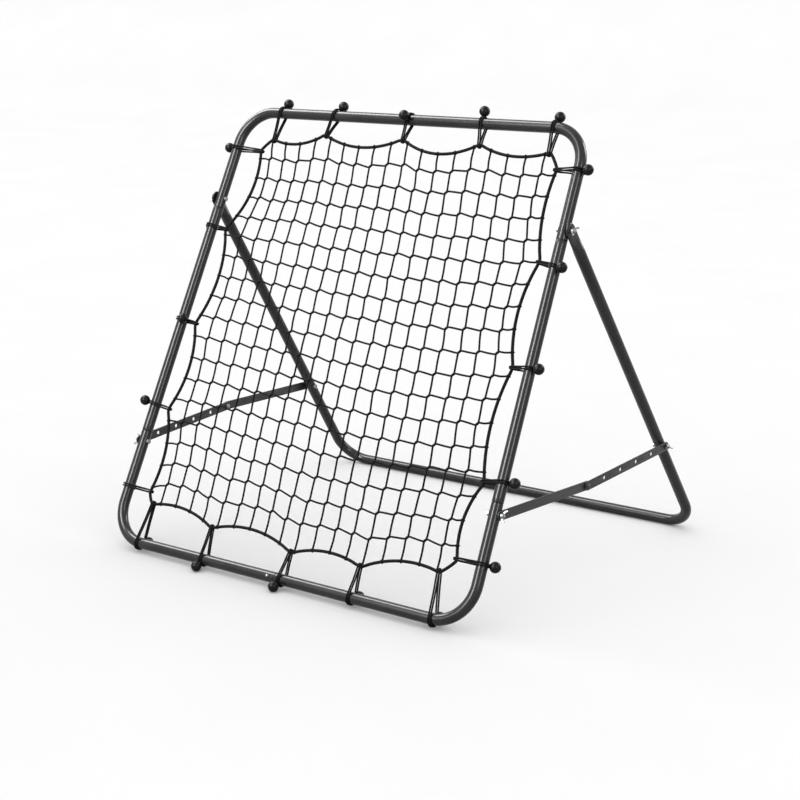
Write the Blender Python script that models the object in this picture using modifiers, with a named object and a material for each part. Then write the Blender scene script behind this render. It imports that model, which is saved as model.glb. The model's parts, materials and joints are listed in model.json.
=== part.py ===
"""A pitch back rebounder: a leaning tube frame that holds a sprung net, propped by a hinged rear frame.

The frame leans back over a rear U that pivots on two bolts near its top. Two perforated straps a side
set the angle. Twenty ball bungees stretch the net. Front is -Y, right is +X, and z = 0 is the ground.
The origin is on the ground, at the middle of the outline seen from above.
"""

import math

import bmesh
import bpy
from mathutils import Matrix, Vector

# Tube and clearances, in metres
TUBE_RADIUS = 0.0125
WALL = 0.0012
SPIGOT_RADIUS = 0.0105
SPIGOT_LENGTH = 0.05
SHOULDER = 0.0016
BEND_RADIUS = 0.085
REAR_BEND_RADIUS = 0.07
BEND_STEPS = 6
TUBE_SIDES = 12
GAP = 0.0003
SEAM_TO_BOLT = 0.023

# Front frame, measured along tube centre lines
FRONT_RAIL_Y = -0.4444
BOTTOM_HALF_WIDTH = 0.5
TOP_HALF_WIDTH = 0.473
FRAME_LENGTH = 1.067
FRAME_TILT = math.radians(26.4)
PIVOT_UP = 0.8425
STRAP_BOLT_UP = 0.2337

# Rear frame
REAR_RAIL_Y = 0.4699
REAR_RAIL_Z = TUBE_RADIUS * math.cos(math.pi / TUBE_SIDES)
RAIL_TWIST = math.radians(17.14)
REAR_HALF_WIDTH = 0.532
FLAT_HALF_THICKNESS = 0.0025
FLAT_HALF_WIDTH = 0.0165
LEG_OFFSET = TUBE_RADIUS + 2 * GAP + FLAT_HALF_THICKNESS
STRAP_BOLT_DOWN = 0.655

# Straps
STRAP_HALF_WIDTH = 0.0105
STRAP_THICKNESS = 0.002
STRAP_CLEARANCE = 0.0009
STRAP_SAG = 0.014
STRAP_FOLD_SHARE = 0.49
STRAP_HOLE_RADIUS = 0.0041
STRAP_HOLES = 6
STRAP_JOINT_GAP = 0.0011

# Fasteners
BOLT_RADIUS = 0.003
BOLT_HOLE_RADIUS = 0.0034
BOLT_HEAD_RADIUS = 0.0058
BOLT_HEAD_HEIGHT = 0.004
NUT_HEIGHT = 0.006
BOLT_TAIL = 0.003
WING_THICKNESS = 0.0026
HUB_BASE_RADIUS = 0.0062
HUB_TOP_RADIUS = 0.0052
JOINT_NUT_HEIGHT = 0.005
JOINT_SHANK_DEPTH = 0.0021
JOINT_SHANK_TIP = 0.0019
BUTTON_RADIUS = 0.0036
BUTTON_HOLE_RADIUS = 0.004
BUTTON_X = -0.018
SPRING_WIDTH = 0.006

# How the wings of each wing nut stand, turned from upright
PIVOT_WING_TURN = math.radians(60)
FRONT_WING_TURN = math.radians(35)
REAR_WING_TURN = math.radians(115)

# Net and bungees
CORD_DIAMETER = 0.004
CORD_PAIR_WIDTH = 0.0085
BALL_RADIUS = 0.0119
BALL_DISTANCE = 0.0272
BORDER_RADIUS = 0.003
BORDER_STEPS = 6
TIE_INNER_RADIUS = 0.0042
TIE_PASS = 0.006
NET_THICKNESS = 0.002
NET_INSET = 0.014

# How far the border rope sags inwards between neighbouring bungees, clockwise from the top left
TOP_SCALLOPS = (0.015, 0.022, 0.025, 0.015)
RIGHT_SCALLOPS = (0.012, 0.019, 0.016, 0.016)
BOTTOM_SCALLOPS = (0.016, 0.015, 0.021, 0.015)
LEFT_SCALLOPS = (0.017, 0.021, 0.023, 0.024)

# Each bungee: where it ties to the border (x, up), where it crosses its tube, and the angle in degrees
# of its ball about that tube, from straight outwards towards the front.
TOP_BUNGEES = (
    ((-0.368, 0.998), -0.364, -15),
    ((-0.216, 1.017), -0.203, -15),
    ((0.005, 1.017), 0.010, 90),
    ((0.213, 1.016), 0.208, 10),
    ((0.393, 1.007), 0.392, -15),
)
RIGHT_BUNGEES = (
    ((0.421, 0.972), 0.974, 15),
    ((0.439, 0.768), 0.762, 30),
    ((0.443, 0.538), 0.540, 20),
    ((0.448, 0.295), 0.300, -5),
    ((0.433, 0.129), 0.130, -15),
)
BOTTOM_BUNGEES = (
    ((0.401, 0.097), 0.416, -105),
    ((0.206, 0.069), 0.206, -105),
    ((0.018, 0.063), 0.014, 45),
    ((-0.217, 0.074), -0.214, 45),
    ((-0.408, 0.095), -0.414, -105),
)
LEFT_BUNGEES = (
    ((-0.427, 0.121), 0.123, -54),
    ((-0.446, 0.319), 0.324, 30),
    ((-0.442, 0.531), 0.535, 130),
    ((-0.435, 0.768), 0.772, -40),
    ((-0.397, 0.969), 0.972, -5),
)

EDGES = (
    ("top", TOP_BUNGEES, TOP_SCALLOPS),
    ("right", RIGHT_BUNGEES, RIGHT_SCALLOPS),
    ("bottom", BOTTOM_BUNGEES, BOTTOM_SCALLOPS),
    ("left", LEFT_BUNGEES, LEFT_SCALLOPS),
)

# The lower balls at the front stand on the ground and set the height of the front rail.
LOW_BALL_ANGLE = math.radians(45)
RAIL_HEIGHT = BALL_RADIUS + BALL_DISTANCE * math.cos(LOW_BALL_ANGLE + FRAME_TILT)


def front_point(x, up, out=0.0):
    """A point of the front frame: up along its plane from the lower rail, and out of it to the front."""
    y = FRONT_RAIL_Y + up * math.sin(FRAME_TILT) - out * math.cos(FRAME_TILT)
    z = RAIL_HEIGHT + up * math.cos(FRAME_TILT) + out * math.sin(FRAME_TILT)
    return Vector((x, y, z))


def front_half_width(up):
    return BOTTOM_HALF_WIDTH + (TOP_HALF_WIDTH - BOTTOM_HALF_WIDTH) * up / FRAME_LENGTH


PIVOT = front_point(0, PIVOT_UP)
LEG_LINE = Vector((0, REAR_RAIL_Y, REAR_RAIL_Z)) - PIVOT
LEG_LENGTH = LEG_LINE.length
LEG_DIRECTION = LEG_LINE.normalized()
LEG_BACK = Vector((0, -LEG_DIRECTION.z, LEG_DIRECTION.y))
PIVOT_HALF_WIDTH = front_half_width(PIVOT_UP)


def leg_half_width(down):
    top = PIVOT_HALF_WIDTH + LEG_OFFSET
    return top + (REAR_HALF_WIDTH - top) * down / LEG_LENGTH


def leg_point(x, down, back=0.0):
    """A point of the rear frame: down from the pivot along its plane, and back out of it."""
    place = PIVOT + LEG_DIRECTION * down + LEG_BACK * back
    return Vector((x, place.y, place.z))


def clear_scene():
    for obj in list(bpy.data.objects):
        bpy.data.objects.remove(obj, do_unlink=True)


def new_collection(name):
    collection = bpy.data.collections.new(name)
    bpy.context.scene.collection.children.link(collection)
    return collection


def new_material(name, colour, roughness, metallic):
    material = bpy.data.materials.new(name)
    material.use_nodes = True
    shader = material.node_tree.nodes["Principled BSDF"]
    shader.inputs["Base Color"].default_value = (*colour, 1.0)
    shader.inputs["Roughness"].default_value = roughness
    shader.inputs["Metallic"].default_value = metallic
    return material


clear_scene()
PARTS = new_collection("pitch_back_rebounder")
CUTTERS = new_collection("cutters")
POWDER_COAT = new_material("powder_coat", (0.055, 0.055, 0.058), 0.35, 0.3)
STRAP_STEEL = new_material("strap_steel", (0.06, 0.06, 0.062), 0.5, 0.3)
ZINC = new_material("zinc", (0.62, 0.63, 0.65), 0.3, 1.0)
NET_TWINE = new_material("net_twine", (0.012, 0.012, 0.013), 0.8, 0.0)
BUNGEE_BLACK = new_material("bungee_black", (0.01, 0.01, 0.011), 0.45, 0.0)


def add_object(name, data, material, smooth=True):
    obj = bpy.data.objects.new(name, data)
    PARTS.objects.link(obj)
    data.materials.append(material)
    if smooth and isinstance(data, bpy.types.Mesh):
        data.shade_smooth()
        data.set_sharp_from_angle(angle=math.radians(40))
    return obj


def add_cutter(mesh, matrix):
    cutter = bpy.data.objects.new("cutter", mesh)
    CUTTERS.objects.link(cutter)
    cutter.matrix_world = matrix
    cutter.hide_render = True
    cutter.display_type = "WIRE"
    return cutter


def joint_empty(name, place, children, parent=None):
    """An empty on a joint's axis that carries the pieces that move about it."""
    empty = bpy.data.objects.new(name, None)
    PARTS.objects.link(empty)
    empty.location = place
    bpy.context.view_layer.update()
    if parent:
        carry(parent, empty)
    for child in children:
        carry(empty, child)
    return empty


def carry(parent, child):
    """Parents a piece where it stands."""
    child.parent = parent
    child.matrix_parent_inverse = parent.matrix_world.inverted()


def boolean(obj, other, operation="DIFFERENCE"):
    modifier = obj.modifiers.new(operation.lower(), "BOOLEAN")
    modifier.operation = operation
    modifier.solver = "EXACT"
    modifier.object = other


def mesh_from(obj):
    """The evaluated mesh of an object that is then removed, its loose caps welded."""
    bpy.context.view_layer.update()
    graph = bpy.context.evaluated_depsgraph_get()
    mesh = bpy.data.meshes.new_from_object(obj.evaluated_get(graph))
    mesh.transform(obj.matrix_world)
    bpy.data.objects.remove(obj, do_unlink=True)
    shape = bmesh.new()
    shape.from_mesh(mesh)
    bmesh.ops.remove_doubles(shape, verts=shape.verts, dist=0.00001)
    bmesh.ops.recalc_face_normals(shape, faces=shape.faces)
    shape.to_mesh(mesh)
    shape.free()
    return mesh


def cylinder_mesh(radius, length, sides=12, end_radius=None):
    mesh = bpy.data.meshes.new("cylinder")
    shape = bmesh.new()
    bmesh.ops.create_cone(
        shape,
        cap_ends=True,
        segments=sides,
        radius1=radius,
        radius2=radius if end_radius is None else end_radius,
        depth=length,
    )
    shape.to_mesh(mesh)
    shape.free()
    return mesh


def axis_matrix(centre, axis, across=None):
    """A frame at centre whose Z lies along axis, and whose X lies near across."""
    z = Vector(axis).normalized()
    hint = Vector(across) if across else Vector((0, 1, 0))
    x = (hint - z * hint.dot(z)).normalized()
    y = z.cross(x)
    turn = Matrix((x, y, z)).transposed().to_4x4()
    return Matrix.Translation(centre) @ turn


def hole(obj, centre, axis, radius=BOLT_HOLE_RADIUS, length=0.05):
    cutter = add_cutter(cylinder_mesh(radius, length), axis_matrix(centre, axis))
    boolean(obj, cutter)


def curve_object(name, splines, cyclic=False, radii=None, twist=0.0):
    """A curve of poly splines, one for each list of points."""
    curve = bpy.data.curves.new(name, "CURVE")
    curve.dimensions = "3D"
    for points in splines:
        spline = curve.splines.new("POLY")
        spline.points.add(len(points) - 1)
        for index, point in enumerate(points):
            spline.points[index].co = (*point, 1.0)
            spline.points[index].tilt = twist
            if radii:
                spline.points[index].radius = radii[index]
        spline.use_cyclic_u = cyclic
    return curve


def plate(name, outlines, thickness):
    """A flat plate of the given outlines in its own XY plane, the first one solid and the others holes."""
    flat = [[(x, y, 0.0) for x, y in outline] for outline in outlines]
    curve = curve_object(name, flat, cyclic=True)
    curve.dimensions = "2D"
    curve.fill_mode = "BOTH"
    curve.extrude = thickness / 2
    obj = bpy.data.objects.new(name, curve)
    bpy.context.scene.collection.objects.link(obj)
    return obj


def arc_points(centre, radius, start, end, steps):
    """Points in a plane along an arc, with angles in degrees; radius may be a pair."""
    across, along = radius if isinstance(radius, tuple) else (radius, radius)
    points = []
    for step in range(steps + 1):
        angle = math.radians(start + (end - start) * step / steps)
        points.append((centre[0] + across * math.cos(angle), centre[1] + along * math.sin(angle)))
    return points


def circle_points(centre, radius, sides=12):
    return arc_points(centre, radius, 0, 360, sides)[:-1]


def bend(start, corner, end, radius):
    """The arc that rounds a corner between two straight runs, with its tangent points."""
    before = (start - corner).normalized()
    after = (end - corner).normalized()
    half = before.angle(after) / 2
    reach = radius / math.tan(half)
    middle = corner + (before + after).normalized() * (radius / math.sin(half))
    first = corner + before * reach - middle
    last = corner + after * reach - middle
    turn = first.angle(last)
    axis = first.cross(last).normalized()
    steps = range(BEND_STEPS + 1)
    return [middle + Matrix.Rotation(turn * step / BEND_STEPS, 3, axis) @ first for step in steps]


def spigot(seam, away):
    """Points and radius factors of a swaged end: away points from the tube's body through the seam."""
    slim = SPIGOT_RADIUS / TUBE_RADIUS
    points = [seam - away * (GAP + SHOULDER), seam - away * GAP, seam + away * SPIGOT_LENGTH]
    return points, [1.0, slim, slim]


def hollow_tube(name, points, radii=None, twist=0.0):
    """A tube of constant wall that follows the points, open at both ends."""
    curve = curve_object(name, [points], radii=radii, twist=twist)
    curve.bevel_depth = TUBE_RADIUS
    curve.bevel_resolution = TUBE_SIDES // 2 - 2
    curve.twist_mode = "MINIMUM"
    guide = bpy.data.objects.new("guide", curve)
    bpy.context.scene.collection.objects.link(guide)
    obj = add_object(name, mesh_from(guide), POWDER_COAT)
    shell = obj.modifiers.new("wall", "SOLIDIFY")
    shell.thickness = WALL
    shell.offset = -1
    return obj


def side_tube(name, side):
    low = STRAP_BOLT_UP + SEAM_TO_BOLT
    high = PIVOT_UP - SEAM_TO_BOLT
    bottom = front_point(side * front_half_width(low), low)
    top = front_point(side * front_half_width(high), high)
    along = (top - bottom).normalized()
    low_points, low_radii = spigot(bottom, -along)
    high_points, high_radii = spigot(top, along)
    points = low_points[::-1] + high_points
    obj = hollow_tube(name, points, low_radii[::-1] + high_radii)
    for up in (STRAP_BOLT_UP, PIVOT_UP):
        hole(obj, front_point(side * front_half_width(up), up), (1, 0, 0))
    return obj


def corner_tube(name, arc, rail_end, is_spigot, bolt, button, twist=0.0):
    """An L-shaped half of a U: a sleeve where the arc starts, and a sleeve or a spigot at the rail's end."""
    points = list(arc)
    radii = [1.0] * len(points)
    if is_spigot:
        ends, factors = spigot(rail_end, (rail_end - arc[-1]).normalized())
        points += ends
        radii += factors
    else:
        points.append(rail_end)
        radii.append(1.0)
    obj = hollow_tube(name, points, radii, twist)
    hole(obj, bolt, (1, 0, 0))
    place, direction = button
    hole(obj, place + direction * TUBE_RADIUS, direction, BUTTON_HOLE_RADIUS, 0.012)
    return obj


def front_corner(name, side, rail_up, arm_up, bolt_up, button):
    arm_end = front_point(side * front_half_width(arm_up), arm_up)
    corner = front_point(side * front_half_width(rail_up), rail_up)
    rail_end = front_point(0, rail_up)
    bolt = front_point(side * front_half_width(bolt_up), bolt_up)
    arc = [arm_end] + bend(arm_end, corner, rail_end, BEND_RADIUS)
    return corner_tube(name, arc, rail_end, side > 0, bolt, button)


def rear_corner(name, side, button):
    seam = STRAP_BOLT_DOWN - SEAM_TO_BOLT
    arm_end = leg_point(side * leg_half_width(seam), seam)
    corner = leg_point(side * REAR_HALF_WIDTH, LEG_LENGTH)
    rail_end = leg_point(0, LEG_LENGTH)
    bolt = leg_point(side * leg_half_width(STRAP_BOLT_DOWN), STRAP_BOLT_DOWN)
    arc = [arm_end] + bend(arm_end, corner, rail_end, REAR_BEND_RADIUS)
    return corner_tube(name, arc, rail_end, side > 0, bolt, button, side * RAIL_TWIST)


def leg_section(down):
    """Half thickness, half width and squareness of the leg's section, flat at the pivot and then round."""
    flat_end = 0.024
    round_start = 0.056
    if down < 0:
        width = math.sqrt(max(FLAT_HALF_WIDTH**2 - down**2, 0.0))
        return FLAT_HALF_THICKNESS, max(width, 0.003), 4.0
    blend = min(max((down - flat_end) / (round_start - flat_end), 0.0), 1.0)
    blend = blend * blend * (3 - 2 * blend)
    thickness = FLAT_HALF_THICKNESS + (TUBE_RADIUS - FLAT_HALF_THICKNESS) * blend
    width = FLAT_HALF_WIDTH + (TUBE_RADIUS - FLAT_HALF_WIDTH) * blend
    return thickness, width, 4.0 - 2.0 * blend


def loft(name, rings):
    """A closed mesh through rings of equally many points, with a cap at each end."""
    mesh = bpy.data.meshes.new(name)
    shape = bmesh.new()
    rows = [[shape.verts.new(point) for point in ring] for ring in rings]
    for row, following in zip(rows, rows[1:]):
        for index in range(len(row)):
            after = (index + 1) % len(row)
            shape.faces.new((row[index], row[after], following[after], following[index]))
    shape.faces.new(rows[0])
    shape.faces.new(rows[-1][::-1])
    bmesh.ops.recalc_face_normals(shape, faces=shape.faces)
    shape.to_mesh(mesh)
    shape.free()
    return mesh


def power(value, exponent):
    return math.copysign(abs(value) ** exponent, value)


def leg_ring(side, down, thickness, width, squareness):
    ring = []
    centre_x = side * leg_half_width(down)
    for index in range(TUBE_SIDES):
        angle = 2 * math.pi * (index + 0.5) / TUBE_SIDES
        across = thickness * power(math.cos(angle), 2 / squareness)
        back = width * power(math.sin(angle), 2 / squareness)
        ring.append(leg_point(centre_x + across, down, back))
    return ring


def leg(name, side):
    """An upper leg: a flattened, rounded eye at the pivot, then a round tube with a swaged lower end."""
    seam = STRAP_BOLT_DOWN - SEAM_TO_BOLT
    rings = []
    for down in (-0.0163, -0.015, -0.0125, -0.009, -0.004, 0.004, 0.024, 0.032, 0.04, 0.048, 0.056):
        rings.append(leg_ring(side, down, *leg_section(down)))
    rings.append(leg_ring(side, seam - GAP - SHOULDER, TUBE_RADIUS, TUBE_RADIUS, 2.0))
    for down in (seam - GAP, seam + SPIGOT_LENGTH):
        rings.append(leg_ring(side, down, SPIGOT_RADIUS, SPIGOT_RADIUS, 2.0))
    obj = add_object(name, loft(name, rings), POWDER_COAT)
    bore_rings = []
    bore = TUBE_RADIUS - WALL
    for down in (0.058, seam - 3 * SHOULDER):
        bore_rings.append(leg_ring(side, down, bore, bore, 2.0))
    bore = SPIGOT_RADIUS - WALL
    for down in (seam - 2 * SHOULDER, seam + 2 * SPIGOT_LENGTH):
        bore_rings.append(leg_ring(side, down, bore, bore, 2.0))
    cutter = add_cutter(loft("bore", bore_rings), Matrix.Identity(4))
    boolean(obj, cutter)
    hole(obj, leg_point(side * leg_half_width(0), 0), (1, 0, 0))
    hole(obj, leg_point(side * leg_half_width(STRAP_BOLT_DOWN), STRAP_BOLT_DOWN), (1, 0, 0))
    return obj


def solid_union(name, material, first, *others):
    """One object from meshes that overlap, joined by Boolean unions."""
    obj = add_object(name, first, material)
    for mesh in others:
        boolean(obj, add_cutter(mesh, Matrix.Identity(4)), "UNION")
    return obj


def placed(mesh, matrix):
    mesh.transform(matrix)
    return mesh


def bolt(name, head_x, tail_x, place):
    """A hexagon bolt along X, its head's inner face at head_x and its tip at tail_x."""
    side = math.copysign(1.0, tail_x - head_x)
    shank_length = abs(tail_x - head_x) + BOLT_HEAD_HEIGHT / 2
    shank_centre = Vector((tail_x - side * shank_length / 2, place.y, place.z))
    shank = cylinder_mesh(BOLT_RADIUS, shank_length)
    head = cylinder_mesh(BOLT_HEAD_RADIUS, BOLT_HEAD_HEIGHT, 6)
    head_centre = Vector((head_x - side * BOLT_HEAD_HEIGHT / 2, place.y, place.z))
    placed(shank, axis_matrix(shank_centre, (side, 0, 0)))
    placed(head, axis_matrix(head_centre, (side, 0, 0)))
    return solid_union(name, ZINC, head, shank)


def wing_nut_mesh():
    """A wing nut at the origin, its seat on z = 0 and its wings along X."""
    half = [(0.005, 0.0), (0.0085, 0.0015), (0.0138, 0.0075), (0.0133, 0.0115)]
    half += [(0.0108, 0.012), (0.0085, 0.0085), (0.005, 0.0062)]
    outline = half + [(-x, y) for x, y in reversed(half)]
    wings = plate("wings", [outline], WING_THICKNESS)
    wings.matrix_world = Matrix.Rotation(math.pi / 2, 4, "X")
    hub = cylinder_mesh(HUB_BASE_RADIUS, NUT_HEIGHT, 12, HUB_TOP_RADIUS)
    hub.transform(Matrix.Translation((0, 0, NUT_HEIGHT / 2)))
    wing_mesh = mesh_from(wings)
    wing_mesh.transform(Matrix.Translation((0, 0, GAP)))
    draft = bpy.data.objects.new("draft", hub)
    bpy.context.scene.collection.objects.link(draft)
    boolean(draft, add_cutter(wing_mesh, Matrix.Identity(4)), "UNION")
    bore = cylinder_mesh(BOLT_HOLE_RADIUS, 4 * NUT_HEIGHT)
    boolean(draft, add_cutter(bore, Matrix.Identity(4)))
    return mesh_from(draft)


def wing_nut(name, mesh, seat, side, turn):
    """A wing nut on the X axis through seat, facing outwards, its wings turned from upright."""
    obj = add_object(name, mesh.copy(), ZINC, smooth=False)
    wings = Vector((0, math.sin(turn), math.cos(turn)))
    obj.matrix_world = axis_matrix(seat, (side, 0, 0), wings)
    return obj


def bend_strap(side):
    """One side's front bolt, rear bolt and folding point in the YZ plane."""
    front = front_point(0, STRAP_BOLT_UP)
    rear = leg_point(0, STRAP_BOLT_DOWN)
    chord = rear - front
    above = Vector((0, -chord.z, chord.y)).normalized()
    fold = front + chord * STRAP_FOLD_SHARE - above * (STRAP_SAG * side)
    return front, rear, fold


def strap(name, start, end, hole_count):
    """A flat bar with rounded ends, holed at start and end and evenly between."""
    length = (end - start).length
    outline = arc_points((0, 0), STRAP_HALF_WIDTH, 90, 270, 8)
    outline += arc_points((length, 0), STRAP_HALF_WIDTH, -90, 90, 8)
    outlines = [outline]
    for index in range(hole_count):
        outlines.append(circle_points((length * index / (hole_count - 1), 0), STRAP_HOLE_RADIUS))
    bar = plate(name, outlines, STRAP_THICKNESS)
    along = (end - start).normalized()
    across = Vector((0, -along.z, along.y)).normalized()
    flat = along.cross(across).normalized()
    bar.matrix_world = Matrix.Translation(start) @ Matrix((along, across, flat)).transposed().to_4x4()
    return add_object(name, mesh_from(bar), STRAP_STEEL)


def strap_set(side, rear_pivot, nut_mesh):
    """The two straps of one side with their bolts, wing nuts and folding joint."""
    label = "right" if side > 0 else "left"
    hole_counts = {"front": 2, "rear": STRAP_HOLES} if side > 0 else {"front": STRAP_HOLES, "rear": 2}
    front, rear, fold = bend_strap(side)
    lift = TUBE_RADIUS + STRAP_CLEARANCE + STRAP_THICKNESS / 2
    front_x = side * (front_half_width(STRAP_BOLT_UP) + lift)
    rear_x = side * (leg_half_width(STRAP_BOLT_DOWN) + lift)
    ends = {"front": Vector((front_x, front.y, front.z)), "rear": Vector((rear_x, rear.y, rear.z))}
    middle = (front_x + rear_x) / 2
    spread = side * (STRAP_THICKNESS + STRAP_JOINT_GAP) / 2
    folds = {
        "front": Vector((middle - spread, fold.y, fold.z)),
        "rear": Vector((middle + spread, fold.y, fold.z)),
    }
    fasteners = {
        "front": fold_nut(label, side, folds["front"]),
        "rear": fold_bolt(label, side, folds["rear"]),
    }
    parents = {"front": None, "rear": rear_pivot}
    turns = {"front": FRONT_WING_TURN, "rear": REAR_WING_TURN}
    for where, end in ends.items():
        bar = strap(f"{label}_{where}_strap", end, folds[where], hole_counts[where])
        joint_empty(f"{label}_{where}_strap_axis", end, (bar, fasteners[where]), parents[where])
        inner_x = end.x - side * (lift + TUBE_RADIUS + GAP)
        seat_x = end.x + side * (STRAP_THICKNESS / 2 + 2 * GAP)
        tip_x = seat_x + side * (NUT_HEIGHT + BOLT_TAIL)
        pin = bolt(f"{where}_strap_bolt_{label}", inner_x, tip_x, end)
        seat = Vector((seat_x, end.y, end.z))
        wing = wing_nut(f"{where}_strap_wing_nut_{label}", nut_mesh, seat, side, turns[where])
        if parents[where]:
            carry(rear_pivot, pin)
            carry(rear_pivot, wing)


def fold_bolt(label, side, fold):
    """The button head of a folding joint, outside the rear strap, with its half of the shank."""
    profile = [(0.0001, 0.0042), (0.0026, 0.0038), (0.0046, 0.0026), (BOLT_HEAD_RADIUS, 0.0)]
    profile += [(BOLT_RADIUS, 0.0), (BOLT_RADIUS, -JOINT_SHANK_DEPTH), (0.0001, -JOINT_SHANK_DEPTH)]
    seat = Vector((fold.x + side * (STRAP_THICKNESS / 2 + GAP), fold.y, fold.z))
    head = placed(turned("head", profile), axis_matrix(seat, (side, 0, 0)))
    return add_object(f"strap_joint_bolt_{label}", head, ZINC)


def fold_nut(label, side, fold):
    """The hexagon nut of a folding joint, inside the front strap, with its half of the shank."""
    seat = Vector((fold.x - side * (STRAP_THICKNESS / 2 + GAP), fold.y, fold.z))
    stand = axis_matrix(seat, (-side, 0, 0))
    nut = cylinder_mesh(BOLT_HEAD_RADIUS, JOINT_NUT_HEIGHT, 6)
    placed(nut, stand @ Matrix.Translation((0, 0, JOINT_NUT_HEIGHT / 2)))
    high = JOINT_NUT_HEIGHT + JOINT_SHANK_TIP
    shank = cylinder_mesh(BOLT_RADIUS, high + JOINT_SHANK_DEPTH)
    placed(shank, stand @ Matrix.Translation((0, 0, (high - JOINT_SHANK_DEPTH) / 2)))
    return solid_union(f"strap_joint_nut_{label}", ZINC, nut, shank)


def turned(name, profile, steps=16):
    """A turned solid about Z from a profile of (radius, height), top first."""
    mesh = bpy.data.meshes.new(name)
    shape = bmesh.new()
    verts = [shape.verts.new((radius, 0, height)) for radius, height in profile]
    for first, second in zip(verts, verts[1:]):
        shape.edges.new((first, second))
    shape.to_mesh(mesh)
    shape.free()
    obj = bpy.data.objects.new(name, mesh)
    bpy.context.scene.collection.objects.link(obj)
    screw = obj.modifiers.new("turn", "SCREW")
    screw.steps = steps
    screw.render_steps = steps
    screw.use_merge_vertices = True
    screw.merge_threshold = 0.0001
    result = mesh_from(obj)
    shape = bmesh.new()
    shape.from_mesh(result)
    bmesh.ops.remove_doubles(shape, verts=shape.verts, dist=0.00021)
    bmesh.ops.holes_fill(shape, edges=shape.edges)
    bmesh.ops.recalc_face_normals(shape, faces=shape.faces)
    shape.to_mesh(result)
    shape.free()
    return result


def pivot_set(side, nut_mesh):
    """The pivot bolt of one side, from inside the frame out through the leg, and its wing nut."""
    label = "right" if side > 0 else "left"
    place = front_point(side * PIVOT_HALF_WIDTH, PIVOT_UP)
    inner_x = place.x - side * (TUBE_RADIUS + GAP)
    seat_x = place.x + side * (LEG_OFFSET + FLAT_HALF_THICKNESS + 2 * GAP)
    tip_x = seat_x + side * (NUT_HEIGHT + BOLT_TAIL)
    bolt(f"pivot_bolt_{label}", inner_x, tip_x, place)
    seat = Vector((seat_x, place.y, place.z))
    wing_nut(f"pivot_wing_nut_{label}", nut_mesh, seat, side, PIVOT_WING_TURN)


def snap_button(name, place, direction, carrier=None):
    """A domed button riveted to a folded leaf spring that lies inside the spigot along X."""
    profile = [(0.0001, 0.0152), (0.0022, 0.0146), (BUTTON_RADIUS, 0.0132)]
    profile += [(BUTTON_RADIUS, 0.006), (0.0001, 0.006)]
    leaf_edge = [(-0.006, 0.0056), (0.006, 0.0066), (0.024, 0.0030), (0.0255, 0.0005), (0.024, -0.0022)]
    leaf_edge += [(-0.004, -0.0042), (-0.004, -0.0034), (0.0235, -0.0012), (0.0245, 0.0005)]
    leaf_edge += [(0.0235, 0.0020), (0.006, 0.0054), (-0.006, 0.0046)]
    leaf = plate("leaf", [leaf_edge], SPRING_WIDTH)
    leaf.matrix_world = Matrix.Rotation(math.pi / 2, 4, "X")
    stand = axis_matrix(place, direction, (1, 0, 0))
    button = placed(turned(name, profile, 12), stand)
    obj = solid_union(name, ZINC, button, placed(mesh_from(leaf), stand))
    joint_empty(f"{name}_axis", place, (obj,), carrier)


def tube_normal(edge):
    """The outward normal of one edge's tube, in the frame's plane."""
    slope = (BOTTOM_HALF_WIDTH - TOP_HALF_WIDTH) / FRAME_LENGTH
    normals = {"top": (0, 1), "bottom": (0, -1), "left": (-1, slope), "right": (1, slope)}
    return Vector(normals[edge]).normalized()


def tie_and_wrap(bungee, edge):
    """A bungee's tie on the border and its crossing of the tube, as (x, up) pairs, and its ball's angle."""
    tie, crossing, angle = bungee
    wraps = {
        "top": (crossing, FRAME_LENGTH),
        "bottom": (crossing, 0.0),
        "left": (-front_half_width(crossing), crossing),
        "right": (front_half_width(crossing), crossing),
    }
    return Vector(tie), Vector(wraps[edge]), math.radians(angle)


def bungee_matrix(tie, wrap):
    """A frame at the crossing: X away from the tie, Y to the front, Z along the tube."""
    away = wrap - tie
    x = front_point(away.x, away.y) - front_point(0, 0)
    y = front_point(0, 0, 1) - front_point(0, 0)
    x.normalize()
    turn = Matrix((x, y, x.cross(y))).transposed().to_4x4()
    return Matrix.Translation(front_point(*wrap)) @ turn, away.length


def loop_outline(reach, shift, far, near, tie_radius):
    """One edge of a bungee's flat loop: round the tube at the origin and back round the tie."""
    outline = [(-shift - 0.002, -near)]
    outline += arc_points((shift, 0), (far, near), -90, 90, 8)
    outline.append((-shift - 0.002, near))
    return outline + arc_points((-reach, 0), tie_radius, 110, 250, 3)


def ball_bungee(name, bungee, edge):
    """A doubled elastic cord looped round the border rope and the tube, joined to its ball."""
    tie, wrap, angle = tie_and_wrap(bungee, edge)
    stand, reach = bungee_matrix(tie, wrap)
    away = (wrap - tie).normalized()
    square = away.dot(tube_normal(edge))
    shift = CORD_PAIR_WIDTH / 2 * math.sqrt(1 - square**2) / square
    inner = loop_outline(reach, shift, TUBE_RADIUS / square + GAP, TUBE_RADIUS + GAP, TIE_INNER_RADIUS)
    thick = CORD_DIAMETER
    far = TUBE_RADIUS / square + GAP + thick
    outer = loop_outline(reach, shift, far, TUBE_RADIUS + GAP + thick, TIE_INNER_RADIUS + thick)
    loop = plate(name, [outer, inner], CORD_PAIR_WIDTH)
    loop.matrix_world = stand
    ball = bpy.data.meshes.new("ball")
    shape = bmesh.new()
    bmesh.ops.create_uvsphere(shape, u_segments=10, v_segments=6, radius=BALL_RADIUS)
    shape.to_mesh(ball)
    shape.free()
    ball_x = (BALL_DISTANCE + TUBE_RADIUS / square - TUBE_RADIUS + shift) * math.cos(angle)
    ball_y = BALL_DISTANCE * math.sin(angle)
    ball.transform(stand @ Matrix.Translation((ball_x, ball_y, 0)))
    return solid_union(name, BUNGEE_BLACK, mesh_from(loop), ball)


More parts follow.
